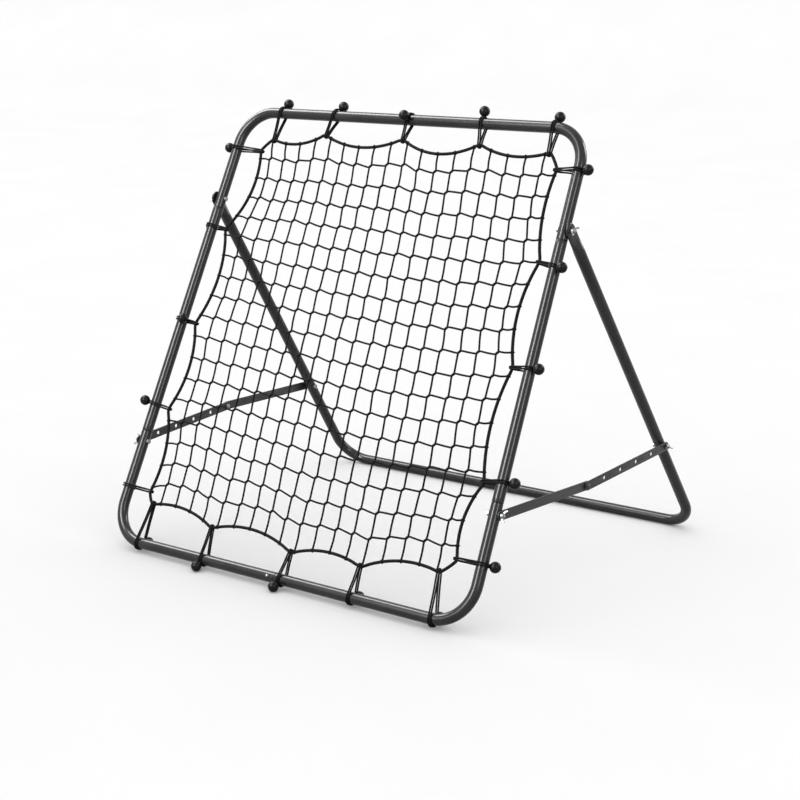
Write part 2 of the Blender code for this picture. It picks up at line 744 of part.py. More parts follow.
def border_points():
    """The net's edge: straight through each bungee's loop, with scallops that sag inwards between them."""
    points = []
    for edge, group, scallops in EDGES:
        passes = [tie_pass(bungee, edge) for bungee in group]
        points.append(passes[0][0])
        for (_, first), (second, _), scallop in zip(passes, passes[1:], scallops):
            inward = Vector((second.y - first.y, first.x - second.x)).normalized()
            for step in range(BORDER_STEPS):
                part = step / (BORDER_STEPS - 1)
                sag = 4 * part * (1 - part) * scallop
                points.append(first.lerp(second, part) + inward * sag)
        points.append(passes[-1][1])
    return points


def tie_pass(bungee, edge):
    """Where the border rope enters and leaves a bungee's loop, square to the loop."""
    tie, wrap, _ = tie_and_wrap(bungee, edge)
    away = (wrap - tie).normalized()
    along = Vector((away.y, -away.x)) * TIE_PASS
    return tie - along, tie + along


def net_border():
    path = [front_point(*point) for point in border_points()]
    curve = curve_object("net_border_rope", [path], cyclic=True)
    curve.bevel_depth = BORDER_RADIUS
    curve.bevel_resolution = 2
    guide = bpy.data.objects.new("guide", curve)
    bpy.context.scene.collection.objects.link(guide)
    return add_object("net_border_rope", mesh_from(guide), NET_TWINE)


def net():
    """The net as one thin panel inside its border rope."""
    centre = Vector((0, FRAME_LENGTH / 2))
    outline = [tuple(point + (centre - point).normalized() * NET_INSET) for point in border_points()]
    panel = plate("net", [outline], NET_THICKNESS)
    x = Vector((1, 0, 0))
    y = front_point(0, 1) - front_point(0, 0)
    turn = Matrix((x, y, x.cross(y))).transposed().to_4x4()
    panel.matrix_world = Matrix.Translation(front_point(0, 0)) @ turn
    return add_object("net", mesh_from(panel), NET_TWINE)


def front_frame():
    front = front_point(0, 0, 1) - front_point(0, 0)
    bottom_button = (front_point(BUTTON_X, 0), front)
    top_button = (front_point(BUTTON_X, FRAME_LENGTH), -front)
    low_arm = STRAP_BOLT_UP + SEAM_TO_BOLT
    high_arm = PIVOT_UP - SEAM_TO_BOLT
    for side, label in ((-1, "left"), (1, "right")):
        side_tube(f"side_tube_{label}", side)
        front_corner(f"top_corner_tube_{label}", side, FRAME_LENGTH, high_arm, PIVOT_UP, top_button)
        front_corner(f"bottom_corner_tube_{label}", side, 0, low_arm, STRAP_BOLT_UP, bottom_button)
    snap_button("bottom_snap_button", *bottom_button)
    snap_button("top_snap_button", *top_button)


def rear_frame():
    """The rear U in its four tubes; returns the empty on the pivot bolts' axis that carries it."""
    button = (leg_point(BUTTON_X, LEG_LENGTH), LEG_BACK)
    tubes = []
    for side, label in ((-1, "left"), (1, "right")):
        tubes.append(leg(f"leg_tube_{label}", side))
        tubes.append(rear_corner(f"rear_corner_tube_{label}", side, button))
    pivot = joint_empty("rear_frame_axis", PIVOT, tubes)
    snap_button("rear_snap_button", *button, pivot)
    return pivot


def bungees():
    for edge, group, _ in EDGES:
        for number, bungee in enumerate(group, 1):
            ball_bungee(f"{edge}_bungee_{number}", bungee, edge)


def build():
    front_frame()
    rear_pivot = rear_frame()
    nut_mesh = wing_nut_mesh()
    for side in (-1, 1):
        pivot_set(side, nut_mesh)
        strap_set(side, rear_pivot, nut_mesh)
    net_border()
    net()
    bungees()


build()
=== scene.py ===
"""The looks of the pitch back rebounder: smooth coated tube, holed straps, zinc fasteners, a knotted net on
its border rope, and ball bungees of doubled elastic cord. Front is -Y, right is +X, z = 0 is the ground.
"""

import json
import math
import random

import bmesh
import bpy
from mathutils import Matrix, Vector
from mathutils.geometry import intersect_line_line_2d


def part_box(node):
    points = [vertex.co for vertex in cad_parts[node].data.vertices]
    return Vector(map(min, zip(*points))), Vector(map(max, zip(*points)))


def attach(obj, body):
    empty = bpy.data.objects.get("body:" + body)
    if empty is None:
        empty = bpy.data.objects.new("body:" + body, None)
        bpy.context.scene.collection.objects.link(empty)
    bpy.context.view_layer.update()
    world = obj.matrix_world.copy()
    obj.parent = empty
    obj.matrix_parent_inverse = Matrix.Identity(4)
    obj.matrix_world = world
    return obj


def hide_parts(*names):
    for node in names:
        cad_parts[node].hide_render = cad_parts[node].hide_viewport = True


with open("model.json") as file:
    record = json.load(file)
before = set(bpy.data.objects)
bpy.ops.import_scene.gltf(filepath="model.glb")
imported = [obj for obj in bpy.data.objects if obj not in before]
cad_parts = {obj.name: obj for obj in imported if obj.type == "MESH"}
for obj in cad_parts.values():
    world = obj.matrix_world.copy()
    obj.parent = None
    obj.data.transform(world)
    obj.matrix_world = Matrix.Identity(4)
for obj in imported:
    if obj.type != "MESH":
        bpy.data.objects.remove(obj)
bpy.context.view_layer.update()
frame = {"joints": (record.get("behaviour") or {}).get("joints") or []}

# Tube and clearances, in metres, as the frame has them
TUBE_RADIUS = 0.0125
WALL = 0.0012
SPIGOT_RADIUS = 0.0105
SPIGOT_LENGTH = 0.05
SHOULDER = 0.0016
BORE_STEP = 0.0002
END_RUN = 0.012
BEND_RADIUS = 0.085
REAR_BEND_RADIUS = 0.07
BEND_STEPS = 20
TUBE_SIDES = 40
GAP = 0.0003
RIM = 0.0003
SEAM_TO_BOLT = 0.023

# A swaged shoulder's round: the share of its length still to go, and how far it has dropped
SHOULDER_DROPS = ((0.45, 0.0003), (0.1, 0.0011))

# Turned profiles end this far from their axis
POLE = 0.0001

# Front frame
BOTTOM_HALF_WIDTH = 0.5
TOP_HALF_WIDTH = 0.473
FRAME_LENGTH = 1.067
FRAME_TILT = math.radians(26.4)
PIVOT_UP = 0.8425
STRAP_BOLT_UP = 0.2337

# Rear frame
REAR_RAIL_Y = 0.4699
REAR_RAIL_Z = 0.01207
REAR_HALF_WIDTH = 0.532
FLAT_HALF_THICKNESS = 0.0025
FLAT_HALF_WIDTH = 0.0165
FLAT_SQUARENESS = 3.2
ROUND_SQUARENESS = 2.0
FLAT_LENGTH = 0.024
ROUNDING_LENGTH = 0.036
EYE_EDGE = 0.0012
EYE_STEP_DEGREES = 7.5
LEG_END_RUN = 0.01
LEG_BORE_ROUND = 0.062
LEG_BORE_FLATTER = (0.05, 0.042)
LEG_OFFSET = TUBE_RADIUS + 2 * GAP + FLAT_HALF_THICKNESS
STRAP_BOLT_DOWN = 0.655

# Seams: where the tubes meet, up the front frame and down the rear one
LOW_SEAM = STRAP_BOLT_UP + SEAM_TO_BOLT
HIGH_SEAM = PIVOT_UP - SEAM_TO_BOLT
LEG_SEAM = STRAP_BOLT_DOWN - SEAM_TO_BOLT

# Straps and fasteners
STRAP_HALF_WIDTH = 0.0105
STRAP_THICKNESS = 0.002
STRAP_BEVEL = 0.00035
STRAP_CLEARANCE = 0.0009
STRAP_SAG = 0.014
STRAP_FOLD_SHARE = 0.49
STRAP_HOLE_RADIUS = 0.0041
STRAP_HOLES = 6
STRAP_JOINT_GAP = 0.0011
BOLT_RADIUS = 0.003
BOLT_HOLE_RADIUS = 0.0034
BOLT_HOLE_LENGTH = 0.06
BOLT_THREAD_LENGTH = 0.016
BOLT_TIP = 0.0006
THREAD_PITCH = 0.001
THREAD_DEPTH = 0.00045
HEXAGON_RADIUS = 0.0058
CHAMFER_SLOPE = 1.15
CUTTER_MARGIN = 0.0002
FACE_MARGIN = 0.00001
HEAD_HEIGHT = 0.004
NUT_HEIGHT = 0.005
NUT_STUB = 0.0069
NUT_SHANK = 0.0021
JOINT_HEAD_RADIUS = 0.0058
JOINT_HEAD_RISE = 0.0036
JOINT_SHANK = 0.0022
DOME_STEPS = 8
WING_THICKNESS = 0.0026
WING_BEVEL = 0.0007
WING_VOXEL = 0.0004
WING_TURNS = {"pivot": 60, "front_strap": 35, "rear_strap": 115}

# One thread's profile: the share of the pitch, and the depth below the crest
THREAD_SHAPE = ((0.08, THREAD_DEPTH), (0.45, 0.0), (0.6, 0.0), (0.95, THREAD_DEPTH))

# One wing's outline as (out, up), and the hub's turned profile
WING = ((0.004, 0.0003), (0.0085, 0.0015), (0.0118, 0.0045), (0.0138, 0.0082), (0.0137, 0.0108))
WING += ((0.0124, 0.0121), (0.0108, 0.0115), (0.0088, 0.0085), (0.006, 0.0064), (0.004, 0.006))
WING_HUB = ((POLE, 0.0), (0.0060, 0.0), (0.0062, 0.0003), (0.0060, 0.0022), (0.0054, 0.0055))
WING_HUB += ((0.0050, 0.0060), (POLE, 0.0060))

# Snap buttons, and the bent leaf that carries one, as (along the rail, out) pairs
BUTTON_X = -0.018
BUTTON_RADIUS = 0.0036
BUTTON_HOLE_RADIUS = 0.004
BUTTON_HOLE_LENGTH = 0.012
BUTTON_FOOT = 0.0058
BUTTON_BRIM = 0.0128
BUTTON_RISE = 0.0024
LEAF_HALF_WIDTH = 0.003
LEAF_HALF_THICKNESS = 0.0003
LEAF = ((-0.006, 0.0052), (0.006, 0.0062), (0.016, 0.0046), (0.0235, 0.0028), (0.0252, 0.0004))
LEAF += ((0.0235, -0.0020), (0.012, -0.0028), (-0.004, -0.0040))

# Net, border rope and bungees
BALL_RADIUS = 0.0119
BALL_DISTANCE = 0.0272
CORD_PAIR_WIDTH = 0.0085
STRAND_RADIUS = 0.0019
STRAND_OFFSET = 0.0025
BORDER_RADIUS = 0.0035
LOOP_REACH = 0.0048
LOOP_MOUTH = 0.006
STRAND_SPREAD = 0.0075
WRAP_START = 115
WRAP_OVERRUN = 14
WRAP_STEPS = 6
BALL_STEPS = 32
BORDER_STEPS = 12
TIE_PASS = 0.006
TWINE_RADIUS = 0.0022
NET_COLUMNS = 18
NET_ROWS = 17
NET_SEED = 11

# The ball's collar and its dimple, as (radius, height above the ball's foot or top) pairs
COLLAR = ((0.0032, -0.0004), (0.0042, 0.0002))
DIMPLE = ((0.0030, -0.0003), (0.0024, -0.0012), (POLE, -0.0014))

# The mesh's first and last line where it is at ease, and where those lines meet each edge of the border
COLUMN_EASE = (-0.386, 0.3945)
ROW_EASE = (0.9525, 0.1345)
COLUMN_TOPS = (-0.372, 0.385)
COLUMN_FEET = (-0.386, 0.395)
ROW_LEFTS = (0.95, 0.131)
ROW_RIGHTS = (0.96, 0.156)
ROW_BOW = 0.012
TOP_BOW = -0.008
EDGE_EASE = {"top": 1.0, "bottom": 0.0815, "left": -0.425, "right": 0.4295}
PULL_ALONG = 0.8
PULL_PASSES = 200

# From outside inwards, the stretch across each edge in which a mesh line meets the border
CROSSINGS = {"top": (1.06, 0.9), "bottom": (0.02, 0.2), "left": (-0.48, -0.3), "right": (0.48, 0.3)}

# How unevenly the knots lie (across, up, in depth), and the slack of the twine between two (the same)
KNOT_SCATTER = (0.0007, 0.0009, 0.0006)
SLACK = ((-0.0007, 0.0007), (-0.0010, 0.0004), (-0.0004, 0.0004))

# A knot's strands lie along a slant from lower left to upper right; a hitch goes round the border rope
KNOT_LEAN = Vector((0.0026, 0.0028))
KNOT_RUN = KNOT_LEAN * 1.5
KNOT_RADIUS = TWINE_RADIUS * 0.85
KNOT_REACH = 0.0013
KNOT_TURNS = 2
KNOT_STEPS = 20
LINE_LIFT = 0.0009
HITCH_RADIUS = 0.0012
HITCH_BITE = 0.3
HITCH_LENGTH = 0.003
HITCH_TURNS = 1.25
HITCH_STEPS = 16

# Each bungee: its tie on the border (x, up), its crossing of the tube, and its ball's angle
BUNGEES = {
    "top": (
        ((-0.368, 0.998), -0.364, -15),
        ((-0.216, 1.017), -0.203, -15),
        ((0.005, 1.017), 0.010, 90),
        ((0.213, 1.016), 0.208, 10),
        ((0.393, 1.007), 0.392, -15),
    ),
    "right": (
        ((0.421, 0.972), 0.974, 15),
        ((0.439, 0.768), 0.762, 30),
        ((0.443, 0.538), 0.540, 20),
        ((0.448, 0.295), 0.300, -5),
        ((0.433, 0.129), 0.130, -15),
    ),
    "bottom": (
        ((0.401, 0.097), 0.416, -105),
        ((0.206, 0.069), 0.206, -105),
        ((0.018, 0.063), 0.014, 45),
        ((-0.217, 0.074), -0.214, 45),
        ((-0.408, 0.095), -0.414, -105),
    ),
    "left": (
        ((-0.427, 0.121), 0.123, -54),
        ((-0.446, 0.319), 0.324, 30),
        ((-0.442, 0.531), 0.535, 130),
        ((-0.435, 0.768), 0.772, -40),
        ((-0.397, 0.969), 0.972, -5),
    ),
}

# How far the border rope sags inwards between neighbouring bungees, clockwise from the top left
SCALLOPS = {
    "top": (0.015, 0.022, 0.025, 0.015),
    "right": (0.012, 0.019, 0.016, 0.016),
    "bottom": (0.016, 0.015, 0.021, 0.015),
    "left": (0.017, 0.021, 0.023, 0.024),
}

# Stage: a floor that sweeps up into a backdrop, the lamps (name, place, width, height, power), the camera
FLOOR_HALF_WIDTH = 22
FLOOR_FRONT = -14.0
FLOOR_BACK = 9.0
FLOOR_DROP = 0.0002
SWEEP_RADIUS = 4
BACKDROP_HEIGHT = 16.0
WORLD_STRENGTH = 1.05
LAMPS = (
    ("key", (-1.3, -3.9, 3.2), 1.3, 3.0, 500),
    ("side", (4.2, -1.9, 2.4), 0.8, 2.5, 130),
    ("top", (-2.3, 0.0, 3.4), 2.8, 1.4, 260),
    ("back", (2.5, 4.2, 3.0), 1.3, 2.6, 190),
)
LAMP_TARGET = Vector((0, 0, 0.5))
CAMERA_PLACE = Vector((2.2992, -3.0896, 1.2434))
CAMERA_AZIMUTH = math.radians(36.62)
CAMERA_ELEVATION = math.radians(13.30)
CAMERA_LENS = 76.5


# ---- the frame's geometry

PIVOT = Vector(next(joint["pos_m"] for joint in frame["joints"] if joint["name"] == "rear_frame_fold"))
UP = Vector((0, math.sin(FRAME_TILT), math.cos(FRAME_TILT)))
FRONT = Vector((0, -math.cos(FRAME_TILT), math.sin(FRAME_TILT)))
FRONT_RAIL = PIVOT - UP * PIVOT_UP
LEG_LINE = Vector((0, REAR_RAIL_Y, REAR_RAIL_Z)) - PIVOT
LEG_LENGTH = LEG_LINE.length
LEG_DIRECTION = LEG_LINE.normalized()
LEG_BACK = Vector((0, -LEG_DIRECTION.z, LEG_DIRECTION.y))


def front_point(x, up, out=0.0):
    return FRONT_RAIL + UP * up + FRONT * out + Vector((x, 0, 0))


def front_half_width(up):
    return BOTTOM_HALF_WIDTH + (TOP_HALF_WIDTH - BOTTOM_HALF_WIDTH) * up / FRAME_LENGTH


def side_point(side, up):
    """A point on a side tube's centre line."""
    return front_point(side * front_half_width(up), up)


def leg_half_width(down):
    top = front_half_width(PIVOT_UP) + LEG_OFFSET
    return top + (REAR_HALF_WIDTH - top) * down / LEG_LENGTH


def leg_point(x, down, back=0.0):
    return PIVOT + LEG_DIRECTION * down + LEG_BACK * back + Vector((x, 0, 0))


# ---- materials

class Nodes:
    """A material's node tree with short ways to add and link nodes."""

    def __init__(self, name):
        self.material = bpy.data.materials.new(name)
        self.material.use_nodes = True
        self.tree = self.material.node_tree
        self.shader = self.tree.nodes["Principled BSDF"]
        self.coordinates = self.add("TexCoord")

    def add(self, kind, **values):
        """A new node, with values for its inputs."""
        node = self.tree.nodes.new("ShaderNode" + kind)
        for name, value in values.items():
            node.inputs[name.replace("_", " ")].default_value = value
        return node

    def link(self, source, target):
        self.tree.links.new(source, target)

    def noise(self, scale, detail, stretch=None):
        node = self.add("TexNoise", Scale=scale, Detail=detail)
        vector = self.coordinates.outputs["Object"]
        if stretch:
            mapping = self.add("Mapping", Scale=stretch)
            self.link(vector, mapping.inputs["Vector"])
            vector = mapping.outputs["Vector"]
        self.link(vector, node.inputs["Vector"])
        return node.outputs["Fac"]

    def ramp(self, source, stops):
        node = self.add("ValToRGB")
        elements = node.color_ramp.elements
        for position, colour in stops:
            elements.new(position).color = (*colour, 1)
        elements.remove(elements[-1])
        elements.remove(elements[0])
        self.link(source, node.inputs["Fac"])
        return node.outputs["Color"]

    def spread(self, source, low, high):
        node = self.add("MapRange", To_Min=low, To_Max=high)
        self.link(source, node.inputs["Value"])
        return node.outputs["Result"]

    def maths(self, operation, *values):
        node = self.add("Math")
        node.operation = operation
        for socket, value in zip(node.inputs, values):
            if isinstance(value, (int, float)):
                socket.default_value = value
            else:
                self.link(value, socket)
        return node.outputs["Value"]

    def bump(self, heights):
        """Chains bumps of (height source, strength, distance in metres)."""
        normal = None
        for height, strength, distance in heights:
            node = self.add("Bump", Strength=strength, Distance=distance)
            self.link(height, node.inputs["Height"])
            if normal:
                self.link(normal, node.inputs["Normal"])
            normal = node.outputs["Normal"]
        self.link(normal, self.shader.inputs["Normal"])

    def finish(self, colour, roughness, **constants):
        self.link(colour, self.shader.inputs["Base Color"])
        self.link(roughness, self.shader.inputs["Roughness"])
        for name, value in constants.items():
            self.shader.inputs[name.replace("_", " ")].default_value = value
        return self.material


def grey(value, blue=1.0):
    return (value, value, value * blue)


def coat(name, mottle, stops, gloss, bumps, **constants):
    """A coat whose colour, roughness and surface follow noises, each given by its scale and detail."""
    nodes = Nodes(name)
    colour = nodes.ramp(nodes.noise(*mottle), stops)
    roughness = nodes.spread(nodes.noise(*gloss[:2]), *gloss[2:])
    if bumps:
        nodes.bump([(nodes.noise(*bump[:2]), *bump[2:]) for bump in bumps])
    return nodes.finish(colour, roughness, **constants)


def rope(name, dark, light, pitch, strands, weave, roughness):
    """Laid or braided rope: ridges run round it at an angle to its length, which UV's first value gives."""
    nodes = Nodes(name)
    split = nodes.add("SeparateXYZ")
    nodes.link(nodes.coordinates.outputs["UV"], split.inputs["Vector"])
    along = nodes.maths("MULTIPLY", split.outputs["X"], 2 * math.pi / pitch)
    around = nodes.maths("MULTIPLY", split.outputs["Y"], 2 * math.pi * strands)
    ridge = nodes.maths("SINE", nodes.maths("ADD", along, around))
    if weave:
        crossing = nodes.maths("SINE", nodes.maths("SUBTRACT", along, around))
        ridge = nodes.maths("MULTIPLY", ridge, crossing)
    height = nodes.spread(ridge, 0.0, 1.0)
    height.node.inputs["From Min"].default_value = -1.0
    fuzz = nodes.noise(4000, 3)
    # Colour follows the ridges: darker in the grooves between strands as painted shade, lighter on the
    # crests, with a random fuzz mixed in
    groove_shade_and_fuzz = nodes.maths("ADD", nodes.maths("MULTIPLY", height, 0.7), nodes.maths("MULTIPLY", fuzz, 0.3))
    colour = nodes.ramp(groove_shade_and_fuzz, [(0.2, dark), (0.85, light)])
    nodes.bump([(height, 0.45, 0.0005), (fuzz, 0.3, 0.0002)])
    dull = {"Specular_IOR_Level": 0.05, "Sheen_Weight": 0.004, "Sheen_Roughness": 0.5}
    return nodes.finish(colour, nodes.spread(fuzz, roughness, roughness + 0.15), **dull)


# Dark grey semi-gloss powder coat, with a fine orange peel and a faint cloud
shades = [(0.3, grey(0.006, 1.03)), (0.7, grey(0.010, 1.03))]
bumps = [(1500, 2, 0.05, 0.0002)]
COAT = coat("powder_coat", (18, 4), shades, (140, 5, 0.20, 0.30), bumps, Specular_IOR_Level=0.23)

# Satin dark grey coat over flat steel bar, a little rubbed along its length
rub = (60, 5, (1, 0.15, 1))
shades = [(0.35, grey(0.009)), (0.68, grey(0.014)), (0.8, grey(0.028))]
bumps = [(1800, 2, 0.15, 0.0002), (90, 3, 0.08, 0.0004)]
STRAP_COAT = coat("strap_coat", rub, shades, (220, 4, 0.34, 0.52), bumps, Specular_IOR_Level=0.32)

# Bright zinc plate: grey steel with a faint cool and warm mottle
shades = [(0.3, (0.15, 0.155, 0.17)), (0.55, (0.22, 0.225, 0.23)), (0.75, (0.25, 0.24, 0.22))]
bumps = [(2600, 3, 0.12, 0.0001)]
ZINC = coat("zinc", (350, 4), shades, (900, 4, 0.28, 0.48), bumps, Metallic=1.0)

# Black zinc plate on the joint bolts' heads: dark bare metal with a soft shine
shades = [(0.3, grey(0.035)), (0.7, grey(0.07))]
BLACK_ZINC = coat("black_zinc", (500, 4), shades, (900, 4, 0.3, 0.5), bumps, Metallic=1.0)

# Black moulded plastic with a very fine texture and duller patches
shades = [(0.3, grey(0.0015)), (0.7, grey(0.004))]
bumps = [(2200, 2, 0.1, 0.0002)]
BALL = coat("ball_plastic", (90, 4), shades, (260, 4, 0.28, 0.42), bumps, Specular_IOR_Level=0.1)

shades = [(0.3, grey(0.95)), (0.7, grey(0.97))]
FLOOR_PAINT = coat("floor_paint", (2, 3), shades, (30, 3, 0.75, 0.85), [])
# Black twine, border rope and elastic cord, each with painted shade in the grooves of its lay
TWINE = rope("net_twine", grey(0.001), grey(0.004), 0.005, 3, False, 0.6)
BORDER = rope("border_rope", grey(0.001), grey(0.004), 0.012, 3, False, 0.6)
ELASTIC = rope("elastic_cord", grey(0.001), grey(0.005), 0.0035, 6, True, 0.55)


# ---- mesh tools

def new_mesh(name, shape):
    mesh = bpy.data.meshes.new(name)
    bmesh.ops.recalc_face_normals(shape, faces=shape.faces)
    shape.to_mesh(mesh)
    shape.free()
    return mesh


def new_object(name, data):
    obj = bpy.data.objects.new(name, data)
    bpy.context.scene.collection.objects.link(obj)
    return obj


def add_piece(name, mesh, material, body, slot, *nodes, sharp=40):
    """An object made from a mesh in place, that rides on a body and stands for CAD nodes."""
    obj = new_object(name, mesh)
    obj.data.materials.append(material)
    obj.data.shade_smooth()
    obj.data.set_sharp_from_angle(angle=math.radians(sharp))
    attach(obj, body)
    if nodes:
        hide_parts(*nodes)


def settled(obj):
    """The evaluated mesh, in place, of an object that is then removed."""
    bpy.context.view_layer.update()
    graph = bpy.context.evaluated_depsgraph_get()
    mesh = bpy.data.meshes.new_from_object(obj.evaluated_get(graph))
    mesh.transform(obj.matrix_world)
    bpy.data.objects.remove(obj, do_unlink=True)
    return mesh


def combined(mesh, others, operation="DIFFERENCE"):
    """A mesh after Boolean operations with other meshes."""
    obj = new_object("draft", mesh)
    helpers = [new_object("helper", other) for other in others]
    for helper in helpers:
        modifier = obj.modifiers.new("boolean", "BOOLEAN")
        modifier.operation = operation
        modifier.object = helper
    result = settled(obj)
    for helper in helpers:
        bpy.data.objects.remove(helper, do_unlink=True)
    return result


def add_rings(shape, rings, closed=False, uv=None, lengths=None):
    """Faces through rings of equally many points, capped unless the last ring meets the first.

    A UV layer takes the length along and the share of a turn round.
    """
    rows = [[shape.verts.new(point) for point in ring] for ring in rings]
    pairs = list(zip(range(len(rows)), range(1, len(rows))))
    if closed:
        pairs.append((len(rows) - 1, 0))
    count = len(rows[0])
    for low, high in pairs:
        for index in range(count):
            after = (index + 1) % count
            corners = (rows[low][index], rows[low][after], rows[high][after], rows[high][index])
            face = shape.faces.new(corners)
            if uv:
                top = lengths[high] if high else lengths[-1] + (rows[0][0].co - rows[-1][0].co).length
                places = ((lengths[low], index), (lengths[low], index + 1), (top, index + 1), (top, index))
                for loop, (length, turn) in zip(face.loops, places):
                    loop[uv].uv = (length, turn / count)
    if not closed:
        shape.faces.new(rows[0])
        shape.faces.new(rows[-1][::-1])


def path_frames(points, closed=False):
    """Tangent, side and normal at each point of a path, carried along it without twist."""
    count = len(points)
    tangents = []
    for index in range(count):
        before = points[index - 1] if index or closed else points[0]
        after = points[(index + 1) % count] if index < count - 1 or closed else points[-1]
        tangents.append((after - before).normalized())
    hint = Vector((1, 0, 0)) if abs(tangents[0].x) < 0.9 else Vector((0, 0, 1))
    side = (hint - tangents[0] * hint.dot(tangents[0])).normalized()
    frames = []
    for tangent in tangents:
        side = (side - tangent * side.dot(tangent)).normalized()
        frames.append((tangent, side, tangent.cross(side)))
    return frames


def ring_at(centre, side, normal, radius, sides):
    angles = [2 * math.pi * index / sides for index in range(sides)]
    return [centre + side * (radius * math.cos(a)) + normal * (radius * math.sin(a)) for a in angles]


def new_strands():
    shape = bmesh.new()
    return shape, shape.loops.layers.uv.new("UVMap")


def add_strand(shape, uv, points, radius, sides, closed=False):
    """A round strand along points, with UV along its length, capped at both ends unless it is closed."""
    lengths = [0.0]
    for first, second in zip(points, points[1:]):
        lengths.append(lengths[-1] + (second - first).length)
    frames = path_frames(points, closed)
    rings = [ring_at(point, side, normal, radius, sides) for point, (_, side, normal) in zip(points, frames)]
    add_rings(shape, rings, closed, uv, lengths)


def smooth_path(points, steps, closed=False):
    """A Catmull-Rom curve through the points."""
    count = len(points)
    result = []
    spans = count if closed else count - 1
    for index in range(spans):
        near = range(index - 1, index + 3)
        places = [place % count if closed else min(max(place, 0), count - 1) for place in near]
        before, start, end, after = (points[place] for place in places)
        for step in range(steps):
            t = step / steps
            a = 2 * start
            b = (end - before) * t
            c = (2 * before - 5 * start + 4 * end - after) * (t * t)
            d = (3 * start - before - 3 * end + after) * (t * t * t)
            result.append((a + b + c + d) * 0.5)
    if not closed:
        result.append(points[-1].copy())
    return result


def placed_axes(place, x, y, z):
    return Matrix.Translation(place) @ Matrix((x, y, z)).transposed().to_4x4()


def axis_matrix(centre, axis, across=(0, 1, 0)):
    """A frame at centre whose Z lies along axis, and whose X lies near across."""
    z = Vector(axis).normalized()
    hint = Vector(across)
    x = (hint - z * hint.dot(z)).normalized()
    return placed_axes(centre, x, z.cross(x), z)


def turned(matrix, profile, sides=32):
    """A closed turned solid about the matrix's Z, through (radius, height) pairs from low to high."""
    shape = bmesh.new()
    add_turned(shape, matrix, profile, sides)
    return new_mesh("turned", shape)


def add_turned(shape, matrix, profile, sides):
    x, y = Vector((1, 0, 0)), Vector((0, 1, 0))
    rings = [ring_at(Vector((0, 0, height)), x, y, radius, sides) for radius, height in profile]
    add_rings(shape, [[matrix @ point for point in ring] for ring in rings])


def rod(centre, axis, radius, length, sides=32):
    return turned(axis_matrix(centre, axis), [(radius, -length / 2), (radius, length / 2)], sides)


def dome(radius, low, rise):
    """Profile points of a rounded top, from just above its brim to its crown."""
    angles = [math.radians(step * 90 / DOME_STEPS) for step in range(1, DOME_STEPS)]
    points = [(radius * math.cos(angle), low + rise * math.sin(angle)) for angle in angles]
    return points + [(POLE, low + rise)]


def plate(outlines, thickness, bevel, matrix):
    """A flat plate in a plane, the first outline solid and the others holes, with rounded edges."""
    curve = bpy.data.curves.new("plate", "CURVE")
    curve.dimensions = "2D"
    curve.fill_mode = "BOTH"
    curve.extrude = thickness / 2 - bevel
    curve.bevel_depth = bevel
    curve.bevel_resolution = 2
    curve.offset = -bevel
    for outline in outlines:
        spline = curve.splines.new("POLY")
        spline.points.add(len(outline) - 1)
        for point, (x, y) in zip(spline.points, outline):
            point.co = (x, y, 0, 1)
        spline.use_cyclic_u = True
    obj = new_object("plate", curve)
    obj.matrix_world = matrix
    mesh = settled(obj)
    shape = bmesh.new()
    shape.from_mesh(mesh)
    bmesh.ops.remove_doubles(shape, verts=shape.verts, dist=0.00002)
    return new_mesh("plate", shape)


def arc_points(x, radius, start, end, steps):
    """Points of an arc about (x, 0), between two angles in degrees."""
    angles = [math.radians(start + (end - start) * step / steps) for step in range(steps + 1)]
    return [(x + radius * math.cos(angle), radius * math.sin(angle)) for angle in angles]


# ---- tubes

def bend(start, corner, end, radius):
    """The arc that rounds a corner between two straight runs."""
    before = (start - corner).normalized()
    after = (end - corner).normalized()
    half = before.angle(after) / 2
    reach = radius / math.tan(half)
    middle = corner + (before + after).normalized() * (radius / math.sin(half))
    first = corner + before * reach - middle
    last = corner + after * reach - middle
    turn = first.angle(last)
    axis = first.cross(last).normalized()
    steps = range(BEND_STEPS + 1)
    return [middle + Matrix.Rotation(turn * step / BEND_STEPS, 3, axis) @ first for step in steps]


def sleeve_end(seam, away):
    """A plain tube end's (centre, outer, inner) stations, its rim rounded; away points out of the tube."""
    inner = TUBE_RADIUS - WALL
    return [
        (seam - away * (GAP + END_RUN), TUBE_RADIUS, inner),
        (seam - away * (GAP + RIM), TUBE_RADIUS, inner),
        (seam - away * GAP, TUBE_RADIUS - RIM, inner + RIM / 2),
    ]


def spigot_end(seam, away):
    """The same for a swaged end: a rounded shoulder down to the spigot that enters the next tube."""
    bore = TUBE_RADIUS - WALL
    inner = SPIGOT_RADIUS - WALL
    body = seam - away * GAP
    return [
        (body - away * (SHOULDER + END_RUN), TUBE_RADIUS, bore),
        (body - away * SHOULDER, TUBE_RADIUS, bore - BORE_STEP),
        *[(body - away * SHOULDER * share, TUBE_RADIUS - drop, inner) for share, drop in SHOULDER_DROPS],
        (body, SPIGOT_RADIUS, inner),
        (seam + away * SPIGOT_LENGTH, SPIGOT_RADIUS, inner),
    ]


def tube_mesh(stations):
    """A closed shell through stations of (centre, outer radius, inner radius), open at both ends."""
    frames = path_frames([centre for centre, _, _ in stations])
    outside, inside = [], []
    for (centre, outer, inner), (_, side, normal) in zip(stations, frames):
        outside.append(ring_at(centre, side, normal, outer, TUBE_SIDES))
        inside.append(ring_at(centre, side, normal, inner, TUBE_SIDES))
    shape = bmesh.new()
    add_rings(shape, outside + inside[::-1], closed=True)
    return new_mesh("tube", shape)


def add_tube(name, mesh, holes, body, sharp=40):
    add_piece(f"{name}_shell", combined(mesh, holes), COAT, body, "powder_coat", name, sharp=sharp)


def bolt_hole(place):
    return rod(place, (1, 0, 0), BOLT_HOLE_RADIUS, BOLT_HOLE_LENGTH)


